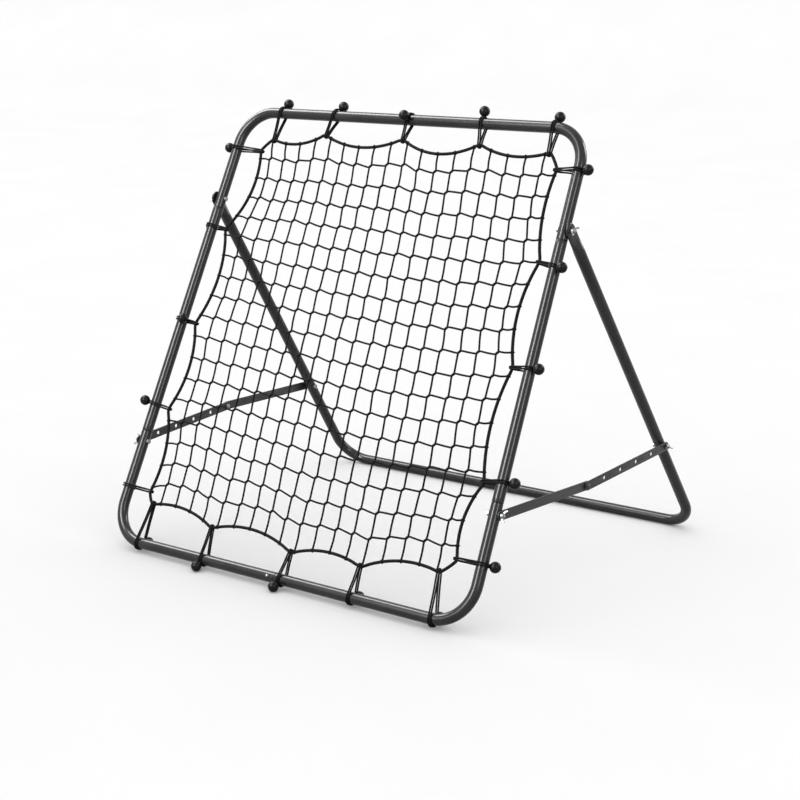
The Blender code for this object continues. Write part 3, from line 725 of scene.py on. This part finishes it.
def side_tube(side, label):
    bottom = side_point(side, LOW_SEAM)
    top = side_point(side, HIGH_SEAM)
    along = (top - bottom).normalized()
    stations = spigot_end(bottom, -along)[::-1] + spigot_end(top, along)
    holes = [bolt_hole(side_point(side, up)) for up in (STRAP_BOLT_UP, PIVOT_UP)]
    add_tube(f"side_tube_{label}", tube_mesh(stations), holes, "front_frame")


def corner_tube(name, arm_end, corner, rail_end, is_spigot, body, holes):
    """An L-shaped half of a U, with a sleeve at its arm and a sleeve or a spigot at mid-rail."""
    arm_away = (arm_end - corner).normalized()
    rail_away = (rail_end - corner).normalized()
    stations = sleeve_end(arm_end, arm_away)[::-1]
    radius = BEND_RADIUS if body == "front_frame" else REAR_BEND_RADIUS
    for point in bend(arm_end, corner, rail_end, radius):
        stations.append((point, TUBE_RADIUS, TUBE_RADIUS - WALL))
    stations += spigot_end(rail_end, rail_away) if is_spigot else sleeve_end(rail_end, rail_away)
    add_tube(name, tube_mesh(stations), holes, body)


def button_hole(place, direction):
    return rod(place + direction * TUBE_RADIUS, direction, BUTTON_HOLE_RADIUS, BUTTON_HOLE_LENGTH, 40)


def front_corner(name, side, rail_up, arm_up, bolt_up, button):
    arm_end = side_point(side, arm_up)
    corner = side_point(side, rail_up)
    rail_end = front_point(0, rail_up)
    holes = [bolt_hole(side_point(side, bolt_up)), button_hole(*button)]
    corner_tube(name, arm_end, corner, rail_end, side > 0, "front_frame", holes)


def rear_corner(name, side, button):
    arm_end = leg_point(side * leg_half_width(LEG_SEAM), LEG_SEAM)
    corner = leg_point(side * REAR_HALF_WIDTH, LEG_LENGTH)
    rail_end = leg_point(0, LEG_LENGTH)
    bolt = leg_point(side * leg_half_width(STRAP_BOLT_DOWN), STRAP_BOLT_DOWN)
    holes = [bolt_hole(bolt), button_hole(*button)]
    corner_tube(name, arm_end, corner, rail_end, side > 0, "rear_frame", holes)


def power(value, exponent):
    return math.copysign(abs(value) ** exponent, value)


def leg_section(down):
    """Half thickness, half width and squareness of the leg, flat at the pivot and then round."""
    if down < 0:
        edge = min(1.0, (FLAT_HALF_WIDTH + down) / EYE_EDGE)
        width = math.sqrt(FLAT_HALF_WIDTH**2 - down**2)
        return FLAT_HALF_THICKNESS * math.sqrt(edge), width, FLAT_SQUARENESS
    blend = min(max((down - FLAT_LENGTH) / ROUNDING_LENGTH, 0.0), 1.0)
    blend = blend * blend * (3 - 2 * blend)
    flat = (FLAT_HALF_THICKNESS, FLAT_HALF_WIDTH, FLAT_SQUARENESS)
    whole = (TUBE_RADIUS, TUBE_RADIUS, ROUND_SQUARENESS)
    return tuple(low + (high - low) * blend for low, high in zip(flat, whole))


def leg_ring(side, down, thickness, width, squareness):
    centre_x = side * leg_half_width(down)
    ring = []
    for index in range(TUBE_SIDES):
        angle = 2 * math.pi * (index + 0.5) / TUBE_SIDES
        across = thickness * power(math.cos(angle), 2 / squareness)
        back = width * power(math.sin(angle), 2 / squareness)
        ring.append(leg_point(centre_x + across, down, back))
    return ring


def leg_tube(side, label):
    """An upper leg: flattened to a rounded eye at the pivot, round below, swaged at its lower end."""
    end = LEG_SEAM - GAP
    angles = [math.radians(EYE_STEP_DEGREES * step) for step in range(1, 12)]
    downs = [-FLAT_HALF_WIDTH * math.cos(angle) for angle in angles]
    downs += [FLAT_LENGTH * step / 3 for step in range(3)]
    downs += [FLAT_LENGTH + ROUNDING_LENGTH * step / 12 for step in range(13)]
    rings = [leg_ring(side, down, *leg_section(down)) for down in downs]
    for down, radius in (
        (end - SHOULDER - LEG_END_RUN, TUBE_RADIUS),
        (end - SHOULDER, TUBE_RADIUS),
        *[(end - SHOULDER * share, TUBE_RADIUS - drop) for share, drop in SHOULDER_DROPS],
        (end, SPIGOT_RADIUS),
        (LEG_SEAM + SPIGOT_LENGTH, SPIGOT_RADIUS),
        (LEG_SEAM + SPIGOT_LENGTH, SPIGOT_RADIUS - WALL),
        (LEG_SEAM - SHOULDER * 2, SPIGOT_RADIUS - WALL),
        (LEG_SEAM - SHOULDER * 3, TUBE_RADIUS - WALL),
        (LEG_BORE_ROUND, TUBE_RADIUS - WALL),
    ):
        rings.append(leg_ring(side, down, radius, radius, ROUND_SQUARENESS))
    for down in LEG_BORE_FLATTER:
        thickness, width, squareness = leg_section(down)
        rings.append(leg_ring(side, down, thickness - WALL, width - WALL, squareness))
    shape = bmesh.new()
    add_rings(shape, rings)
    holes = [bolt_hole(leg_point(side * leg_half_width(down), down)) for down in (0.0, STRAP_BOLT_DOWN)]
    add_tube(f"leg_tube_{label}", new_mesh("leg", shape), holes, "rear_frame", sharp=50)


def all_tubes():
    bottom_button = (front_point(BUTTON_X, 0), FRONT)
    top_button = (front_point(BUTTON_X, FRAME_LENGTH), -FRONT)
    rear_button = (leg_point(BUTTON_X, LEG_LENGTH), LEG_BACK)
    for side, label in ((-1, "left"), (1, "right")):
        side_tube(side, label)
        front_corner(f"top_corner_tube_{label}", side, FRAME_LENGTH, HIGH_SEAM, PIVOT_UP, top_button)
        front_corner(f"bottom_corner_tube_{label}", side, 0, LOW_SEAM, STRAP_BOLT_UP, bottom_button)
        leg_tube(side, label)
        rear_corner(f"rear_corner_tube_{label}", side, rear_button)
    snap_button("bottom", *bottom_button)
    snap_button("top", *top_button)
    snap_button("rear", *rear_button)


def snap_button(name, place, direction):
    """A domed steel button on the end of a bent leaf spring that lies inside the spigot."""
    stand = axis_matrix(place, direction, (1, 0, 0))
    shape = bmesh.new()
    profile = [(POLE, BUTTON_FOOT), (BUTTON_RADIUS, BUTTON_FOOT), (BUTTON_RADIUS, BUTTON_BRIM)]
    add_turned(shape, stand, profile + dome(BUTTON_RADIUS, BUTTON_BRIM, BUTTON_RISE), 40)
    centre = smooth_path([Vector((x, 0, z)) for x, z in LEAF], 4)
    wide = Vector((0, LEAF_HALF_WIDTH, 0))
    rings = []
    for point, (tangent, _, _) in zip(centre, path_frames(centre)):
        out = Vector((0, 1, 0)).cross(tangent) * LEAF_HALF_THICKNESS
        corners = (point + out + wide, point + out - wide, point - out - wide, point - out + wide)
        rings.append([stand @ corner for corner in corners])
    add_rings(shape, rings)
    mesh = new_mesh("snap", shape)
    add_piece(f"{name}_button_dome", mesh, ZINC, f"{name}_button", "zinc", f"{name}_snap_button")


# ---- straps and fasteners

def strap(node, body, start, end, hole_count):
    """A flat bar with rounded ends and softened edges, holed at both ends and evenly between."""
    length = (end - start).length
    outline = arc_points(0, STRAP_HALF_WIDTH, 90, 270, 20) + arc_points(length, STRAP_HALF_WIDTH, -90, 90, 20)
    outlines = [outline]
    for index in range(hole_count):
        outlines.append(arc_points(length * index / (hole_count - 1), STRAP_HOLE_RADIUS, 0, 360, 28)[:-1])
    along = (end - start).normalized()
    across = Vector((0, -along.z, along.y)).normalized()
    place = placed_axes(start, along, across, along.cross(across))
    mesh = plate(outlines, STRAP_THICKNESS, STRAP_BEVEL, place)
    add_piece(f"{node}_bar", mesh, STRAP_COAT, body, "strap_steel", node)


def strap_pair(side, label):
    lift = TUBE_RADIUS + STRAP_CLEARANCE + STRAP_THICKNESS / 2
    front = front_point(side * (front_half_width(STRAP_BOLT_UP) + lift), STRAP_BOLT_UP)
    rear = leg_point(side * (leg_half_width(STRAP_BOLT_DOWN) + lift), STRAP_BOLT_DOWN)
    chord = rear - front
    above = Vector((0, -chord.z, chord.y)).normalized()
    fold = front + chord * STRAP_FOLD_SHARE - above * (STRAP_SAG * side)
    middle = (front.x + rear.x) / 2
    spread = side * (STRAP_THICKNESS + STRAP_JOINT_GAP) / 2
    fold_xs = {"front": middle - spread, "rear": middle + spread}
    holed = "rear" if side > 0 else "front"
    for where, end in (("front", front), ("rear", rear)):
        fold_end = Vector((fold_xs[where], fold.y, fold.z))
        count = STRAP_HOLES if where == holed else 2
        strap(f"{label}_{where}_strap", f"{label}_{where}_strap_bar", end, fold_end, count)
    seat = side * (STRAP_THICKNESS / 2 + GAP)
    joint_bolt(label, side, Vector((fold_xs["rear"] + seat, fold.y, fold.z)))
    joint_nut(label, side, Vector((fold_xs["front"] - seat, fold.y, fold.z)))


def joint_bolt(label, side, seat):
    """The fold's round head and the shank through its strap."""
    brim = JOINT_HEAD_RADIUS
    profile = [(POLE, -JOINT_SHANK), (BOLT_RADIUS, -JOINT_SHANK), (BOLT_RADIUS, 0.0)]
    profile += [(brim - 0.0002, 0.0), (brim, 0.0003), *dome(brim, 0.0006, JOINT_HEAD_RISE)]
    name = f"strap_joint_bolt_{label}"
    mesh = turned(axis_matrix(seat, (side, 0, 0)), profile)
    add_piece(f"{name}_head", mesh, BLACK_ZINC, f"{label}_rear_strap_bar", "zinc", name)


def hexagon_mesh(matrix, height, chamfer_foot):
    """A hexagon prism on the matrix's Z = 0, its corners turned off by a chamfer at its foot or its top."""
    prism = turned(Matrix.Identity(4), [(HEXAGON_RADIUS, 0.0), (HEXAGON_RADIUS, height)], 6)
    flat = HEXAGON_RADIUS * math.cos(math.pi / 6)
    rise = (HEXAGON_RADIUS - flat) * CHAMFER_SLOPE
    wide = HEXAGON_RADIUS + CUTTER_MARGIN
    narrow = flat - CUTTER_MARGIN / 2
    low, high = -FACE_MARGIN, height + FACE_MARGIN
    profile = [(wide, low), (wide, height - rise), (narrow, high)]
    if chamfer_foot:
        profile = [(narrow, low), (wide, rise), (wide, high)]
    result = combined(prism, [turned(Matrix.Identity(4), profile, 48)], "INTERSECT")
    result.transform(matrix)
    return result


def threads(low, high):
    """A profile of thread crests and roots between two heights."""
    count = max(int((high - low) / THREAD_PITCH), 1)
    step = (high - low) / count
    return [
        (BOLT_RADIUS - depth, low + (turn + share) * step)
        for turn in range(count)
        for share, depth in THREAD_SHAPE
    ]


def joint_nut(label, side, seat):
    """The fold's nut and the threaded stub of the shank that shows past it."""
    matrix = axis_matrix(seat, (-side, 0, 0))
    profile = [(POLE, -NUT_SHANK), (BOLT_RADIUS, -NUT_SHANK), (BOLT_RADIUS, 0.0)]
    profile += threads(0.0001, NUT_STUB - 0.0003) + [(BOLT_RADIUS - 0.0008, NUT_STUB), (POLE, NUT_STUB)]
    name = f"strap_joint_nut_{label}"
    nut = hexagon_mesh(matrix, NUT_HEIGHT, False)
    mesh = combined(nut, [turned(matrix, profile, 24)], "UNION")
    add_piece(f"{name}_hexagon", mesh, ZINC, f"{label}_front_strap_bar", "zinc", name)


def bolt(node, body, side):
    """A hexagon bolt along X in its CAD node's place, its head inboard and its threaded tip outboard."""
    low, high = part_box(node)
    centre = (low + high) / 2
    inboard, outboard = (low.x, high.x) if side > 0 else (high.x, low.x)
    matrix = axis_matrix(Vector((inboard, centre.y, centre.z)), (side, 0, 0))
    length = abs(outboard - inboard)
    head = hexagon_mesh(matrix, HEAD_HEIGHT, True)
    thread_start = length - BOLT_THREAD_LENGTH
    profile = [(POLE, HEAD_HEIGHT / 2), (BOLT_RADIUS, HEAD_HEIGHT / 2), (BOLT_RADIUS, thread_start)]
    profile += threads(thread_start, length - BOLT_TIP)
    profile += [(BOLT_RADIUS - 0.0007, length), (POLE, length)]
    mesh = combined(head, [turned(matrix, profile, 24)], "UNION")
    add_piece(f"{node}_steel", mesh, ZINC, body, "zinc", node)


def wing_nut_mesh():
    """A cast wing nut at the origin, its seat on z = 0 and its wings along X, with soft fillets."""
    outline = WING + tuple((-x, y) for x, y in reversed(WING))
    wings = plate([outline], WING_THICKNESS, WING_BEVEL, Matrix.Rotation(math.pi / 2, 4, "X"))
    obj = new_object("draft", combined(turned(Matrix.Identity(4), WING_HUB, 40), [wings], "UNION"))
    remesh = obj.modifiers.new("cast", "REMESH")
    remesh.mode = "VOXEL"
    remesh.voxel_size = WING_VOXEL
    soften = obj.modifiers.new("soften", "SMOOTH")
    soften.iterations = 5
    cast = settled(obj)
    bore = rod(Vector((0, 0, 0)), (0, 0, 1), BOLT_HOLE_RADIUS, BOLT_HOLE_LENGTH)
    return combined(cast, [bore])


def wing_nut(node, side, turn, master):
    """A wing nut in its CAD node's place, its wings turned from upright."""
    low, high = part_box(node)
    centre = (low + high) / 2
    seat = Vector((low.x if side > 0 else high.x, centre.y, centre.z))
    wings = Vector((0, math.sin(turn), math.cos(turn)))
    mesh = master.copy()
    mesh.transform(axis_matrix(seat, (side, 0, 0), wings))
    add_piece(f"{node}_cast", mesh, ZINC, f"{node}_body", "zinc", node, sharp=60)


def all_fasteners():
    master = wing_nut_mesh()
    for side, label in ((-1, "left"), (1, "right")):
        strap_pair(side, label)
        for where, degrees in WING_TURNS.items():
            body = "rear_frame" if where == "rear_strap" else "front_frame"
            bolt(f"{where}_bolt_{label}", body, side)
            wing_nut(f"{where}_wing_nut_{label}", side, math.radians(degrees), master)


# ---- net, border rope and bungees

def tie_and_wrap(bungee, edge):
    """A bungee's tie and its crossing of the tube's centre line, as (x, up), and its ball's angle."""
    tie, crossing, angle = bungee
    wraps = {
        "top": (crossing, FRAME_LENGTH),
        "bottom": (crossing, 0.0),
        "left": (-front_half_width(crossing), crossing),
        "right": (front_half_width(crossing), crossing),
    }
    return Vector(tie), Vector(wraps[edge]), math.radians(angle)


def tie_pass(bungee, edge):
    """Where the border rope enters and leaves a bungee's loop, square to the loop."""
    tie, wrap, _ = tie_and_wrap(bungee, edge)
    away = (wrap - tie).normalized()
    along = Vector((away.y, -away.x)) * TIE_PASS
    return tie - along, tie + along


def border_outline():
    """The border rope's centre line in the frame's plane, clockwise from the first top bungee."""
    points = []
    for edge, scallops in SCALLOPS.items():
        passes = [tie_pass(bungee, edge) for bungee in BUNGEES[edge]]
        points.append(passes[0][0])
        for (_, first), (second, _), scallop in zip(passes, passes[1:], scallops):
            inward = Vector((second.y - first.y, first.x - second.x)).normalized()
            for step in range(BORDER_STEPS):
                part = step / (BORDER_STEPS - 1)
                sag = 4 * part * (1 - part) * scallop
                points.append(first.lerp(second, part) + inward * sag)
        points.append(passes[-1][1])
    return points


OUTLINE = border_outline()


def border_rope():
    shape, uv = new_strands()
    path = [front_point(*point) for point in OUTLINE]
    add_strand(shape, uv, smooth_path(path, 3, closed=True), BORDER_RADIUS, 16, closed=True)
    mesh = new_mesh("border", shape)
    add_piece("border_rope_laid", mesh, BORDER, "front_frame", "net_twine", "net_border_rope", sharp=80)


def border_hit(start, end):
    """Where a straight line in the frame's plane first crosses the border rope."""
    hits = []
    for first, second in zip(OUTLINE, OUTLINE[1:] + OUTLINE[:1]):
        hit = intersect_line_line_2d(start, end, first, second)
        if hit:
            hits.append(Vector(hit))
    return min(hits, key=lambda hit: (hit - start).length)


def spaced(ends, count, bow=0.0):
    """Evenly spaced values from one end to the other, the middle ones moved by a bow."""
    parts = [index / (count - 1) for index in range(count)]
    return [ends[0] + (ends[1] - ends[0]) * part + 4 * part * (1 - part) * bow for part in parts]


def net_anchors():
    """Where each line of the mesh is tied to the border, by the (column, row) just past its last knot."""
    tops = spaced(COLUMN_TOPS, NET_COLUMNS, TOP_BOW)
    feet = spaced(COLUMN_FEET, NET_COLUMNS)
    lefts = spaced(ROW_LEFTS, NET_ROWS, ROW_BOW)
    rights = spaced(ROW_RIGHTS, NET_ROWS, ROW_BOW)
    anchors = {}
    for column in range(NET_COLUMNS):
        anchors[column, -1] = border_hit(*[Vector((tops[column], up)) for up in CROSSINGS["top"]])
        anchors[column, NET_ROWS] = border_hit(*[Vector((feet[column], up)) for up in CROSSINGS["bottom"]])
    for row in range(NET_ROWS):
        anchors[-1, row] = border_hit(*[Vector((x, lefts[row])) for x in CROSSINGS["left"]])
        anchors[NET_COLUMNS, row] = border_hit(*[Vector((x, rights[row])) for x in CROSSINGS["right"]])
    return anchors


def eased_place(column, row, columns, rows):
    """Where a knot, or the last of a line, would be if the border didn't pull it."""
    x = EDGE_EASE["left"] if column < 0 else EDGE_EASE["right"] if column == NET_COLUMNS else columns[column]
    up = EDGE_EASE["top"] if row < 0 else EDGE_EASE["bottom"] if row == NET_ROWS else rows[row]
    return Vector((x, up))


def net_knots(anchors, jitter):
    """The knots: an even mesh, pulled by its border mostly along each line, which eases off inwards."""
    columns = spaced(COLUMN_EASE, NET_COLUMNS)
    rows = spaced(ROW_EASE, NET_ROWS)
    pulls = {key: place - eased_place(*key, columns, rows) for key, place in anchors.items()}
    inside = [(column, row) for column in range(NET_COLUMNS) for row in range(NET_ROWS)]
    pulls.update({key: Vector((0, 0)) for key in inside})
    for _ in range(PULL_PASSES):
        for column, row in inside:
            across = (pulls[column - 1, row] + pulls[column + 1, row]) / 2
            along = (pulls[column, row - 1] + pulls[column, row + 1]) / 2
            x = across.x * PULL_ALONG + along.x * (1 - PULL_ALONG)
            up = along.y * PULL_ALONG + across.y * (1 - PULL_ALONG)
            pulls[column, row] = Vector((x, up))
    across, up, depth = KNOT_SCATTER
    knots = {}
    for key in inside:
        shift = Vector((jitter.gauss(0, across), jitter.gauss(0, up)))
        place = eased_place(*key, columns, rows) + pulls[key] + shift
        knots[key] = (place, jitter.uniform(-depth, depth))
    return knots


def add_coil(shape, uv, centre, depth, run, reach, turns, steps, radius):
    """Twine that winds round a line as long as run, whose middle is at centre."""
    across = Vector((run.y, -run.x)).normalized()
    points = []
    for step in range(steps + 1):
        part = step / steps
        angle = 2 * math.pi * turns * part
        place = centre + run * (part - 0.5) + across * (reach * math.cos(angle))
        points.append(front_point(place.x, place.y, depth + reach * math.sin(angle)))
    add_strand(shape, uv, points, radius, 7)


def add_knot(shape, uv, centre, depth):
    """A sheet bend drawn tight, as a slanted lump of turned twine."""
    add_coil(shape, uv, centre, depth, KNOT_RUN, KNOT_REACH, KNOT_TURNS, KNOT_STEPS, KNOT_RADIUS)


def add_hitch(shape, uv, place):
    """A turn of twine round the border rope where a mesh line is tied to it."""
    index = min(range(len(OUTLINE)), key=lambda k: (OUTLINE[k] - place).length)
    along = (OUTLINE[(index + 1) % len(OUTLINE)] - OUTLINE[index - 1]).normalized()
    reach = BORDER_RADIUS + HITCH_RADIUS * HITCH_BITE
    add_coil(shape, uv, place, 0.0, along * HITCH_LENGTH, reach, HITCH_TURNS, HITCH_STEPS, HITCH_RADIUS)


def add_mesh_line(shape, uv, start, end, knots, lean, lift, jitter):
    """One line of twine from border to border, through each knot along its lean, slack between knots."""
    places = [(start, 0.0)] + knots + [(end, 0.0)]
    points = []
    for index, (place, depth) in enumerate(places):
        if 0 < index < len(places) - 1:
            points.append(front_point(*(place - lean), depth + lift))
            points.append(front_point(*(place + lean), depth - lift))
        else:
            points.append(front_point(*place, depth))
        if index < len(places) - 1:
            middle = place.lerp(places[index + 1][0], 0.5)
            x, up, depth = (jitter.uniform(*span) for span in SLACK)
            points.append(front_point(*(middle + Vector((x, up))), depth))
    add_strand(shape, uv, smooth_path(points, 3), TWINE_RADIUS, 8)


def net():
    """Knotted square mesh: columns and rows of twine, a knot where they cross and a hitch at the border."""
    jitter = random.Random(NET_SEED)
    anchors = net_anchors()
    knots = net_knots(anchors, jitter)
    shape, uv = new_strands()
    for column in range(NET_COLUMNS):
        line = [knots[column, row] for row in range(NET_ROWS)]
        ends = anchors[column, -1], anchors[column, NET_ROWS]
        add_mesh_line(shape, uv, *ends, line, -KNOT_LEAN, LINE_LIFT, jitter)
    for row in range(NET_ROWS):
        line = [knots[column, row] for column in range(NET_COLUMNS)]
        ends = anchors[-1, row], anchors[NET_COLUMNS, row]
        add_mesh_line(shape, uv, *ends, line, KNOT_LEAN, -LINE_LIFT, jitter)
    for place, depth in knots.values():
        add_knot(shape, uv, place, depth)
    for place in anchors.values():
        add_hitch(shape, uv, place)
    add_piece("net_knotted_mesh", new_mesh("net", shape), TWINE, "front_frame", "net_twine", "net", sharp=80)


def bungee_frame(tie, wrap):
    """A frame at the crossing: X away from the tie, Y to the front, Z along the tube."""
    away = wrap - tie
    x = (front_point(*away) - front_point(0, 0)).normalized()
    return placed_axes(front_point(*wrap), x, FRONT, x.cross(FRONT)), away.length


def tube_square(away, edge):
    """How squarely a bungee meets its tube, as a cosine."""
    slope = (BOTTOM_HALF_WIDTH - TOP_HALF_WIDTH) / FRAME_LENGTH
    normals = {"top": (0, 1), "bottom": (0, -1), "left": (-1, slope), "right": (1, slope)}
    return away.dot(Vector(normals[edge]).normalized())


def wrap_points(reach, far, near, z, angle, front):
    """One strand's way from the tie, over the front or the back of the tube, to the ball's neck."""
    points = [
        Vector((-reach - LOOP_REACH, 0.0, z * 0.5)),
        Vector((-reach - LOOP_REACH * 0.7, LOOP_REACH * 0.8 * front, z * 0.6)),
        Vector((-reach + LOOP_MOUTH, LOOP_REACH * 0.95 * front, z)),
        Vector((-reach * 0.55, STRAND_SPREAD * front, z)),
    ]
    start = WRAP_START * front
    end = math.degrees(angle) + WRAP_OVERRUN * front
    for step in range(WRAP_STEPS + 1):
        turn = math.radians(start + (end - start) * step / WRAP_STEPS)
        points.append(Vector((far * math.cos(turn), near * math.sin(turn), z)))
    return points


def ball_bungee(name, bungee, edge):
    """A doubled elastic cord from the border rope round the tube, ending in a neck and a ball."""
    tie, wrap, angle = tie_and_wrap(bungee, edge)
    stand, reach = bungee_frame(tie, wrap)
    square = tube_square((wrap - tie).normalized(), edge)
    shift = CORD_PAIR_WIDTH / 2 * math.sqrt(1 - square**2) / square
    far = TUBE_RADIUS / square + GAP + STRAND_RADIUS + shift
    near = TUBE_RADIUS + GAP + STRAND_RADIUS
    ball_x = (BALL_DISTANCE + TUBE_RADIUS / square - TUBE_RADIUS + shift) * math.cos(angle)
    centre = Vector((ball_x, BALL_DISTANCE * math.sin(angle), 0))
    shape, uv = new_strands()
    seat = centre - centre.normalized() * (BALL_RADIUS - 0.001)
    for z in (STRAND_OFFSET, -STRAND_OFFSET):
        for front in (1, -1):
            points = wrap_points(reach, far, near, z, angle, front) + [seat.lerp(centre, 0.2)]
            path = [stand @ point for point in smooth_path(points, 5)]
            add_strand(shape, uv, path, STRAND_RADIUS, 12)
    add_piece(f"{name}_cord", new_mesh("cord", shape), ELASTIC, "front_frame", "bungee_cord", sharp=80)
    profile = [(radius, height - BALL_RADIUS) for radius, height in COLLAR]
    for step in range(3, BALL_STEPS):
        turn = math.radians(-90 + step * 180 / BALL_STEPS)
        profile.append((BALL_RADIUS * math.cos(turn), BALL_RADIUS * math.sin(turn)))
    profile += [(radius, height + BALL_RADIUS) for radius, height in DIMPLE]
    ball = turned(stand @ axis_matrix(centre, centre.normalized(), (0, 0, 1)), profile, 48)
    add_piece(f"{name}_ball", ball, BALL, "front_frame", "bungee_ball", name)


def all_bungees():
    for edge, group in BUNGEES.items():
        for number, bungee in enumerate(group, 1):
            ball_bungee(f"{edge}_bungee_{number}", bungee, edge)


# ---- stage

def studio():
    """A pale floor that curves up into a backdrop, a pale world and four softboxes."""
    shape = bmesh.new()
    rows = []
    profile = [(FLOOR_FRONT, 0.0), (FLOOR_BACK, 0.0)]
    for a in (0.4, 0.8, 1.2, math.pi / 2):
        profile.append((FLOOR_BACK + SWEEP_RADIUS * math.sin(a), SWEEP_RADIUS - SWEEP_RADIUS * math.cos(a)))
    profile.append((FLOOR_BACK + SWEEP_RADIUS, BACKDROP_HEIGHT))
    for y, z in profile:
        rows.append([shape.verts.new((x, y, z)) for x in (-FLOOR_HALF_WIDTH, FLOOR_HALF_WIDTH)])
    for low, high in zip(rows, rows[1:]):
        shape.faces.new((low[0], low[1], high[1], high[0]))
    mesh = bpy.data.meshes.new("floor")
    shape.to_mesh(mesh)
    shape.free()
    mesh.materials.append(FLOOR_PAINT)
    mesh.shade_smooth()
    floor = new_object("floor", mesh)
    floor.matrix_world = Matrix.Translation((0, 0, -FLOOR_DROP))
    world = bpy.data.worlds.new("studio")
    world.use_nodes = True
    background = world.node_tree.nodes["Background"]
    background.inputs["Color"].default_value = (1, 1, 1, 1)
    background.inputs["Strength"].default_value = WORLD_STRENGTH
    bpy.context.scene.world = world
    bpy.context.scene.view_settings.view_transform = "Standard"
    unlit = bpy.data.collections.new("unlit")
    unlit.objects.link(floor)
    unlit.collection_objects[0].light_linking.link_state = "EXCLUDE"
    for name, place, width, height, power_w in LAMPS:
        light = bpy.data.lights.new(name, "AREA")
        light.shape = "RECTANGLE"
        light.size = width
        light.size_y = height
        light.energy = power_w
        lamp = new_object(name, light)
        lamp.light_linking.receiver_collection = unlit
        lamp.matrix_world = axis_matrix(Vector(place), Vector(place) - LAMP_TARGET, (1, 0, 0))


def camera():
    level = Vector((math.sin(CAMERA_AZIMUTH), -math.cos(CAMERA_AZIMUTH), 0))
    back = level * math.cos(CAMERA_ELEVATION) + Vector((0, 0, math.sin(CAMERA_ELEVATION)))
    right = Vector((-level.y, level.x, 0))
    data = bpy.data.cameras.new("camera")
    data.lens = CAMERA_LENS
    data.clip_end = 200
    obj = new_object("camera", data)
    obj.matrix_world = placed_axes(CAMERA_PLACE, right, back.cross(right), back)
    bpy.context.scene.camera = obj


camera()
studio()
all_tubes()
all_fasteners()
border_rope()
net()
all_bungees()
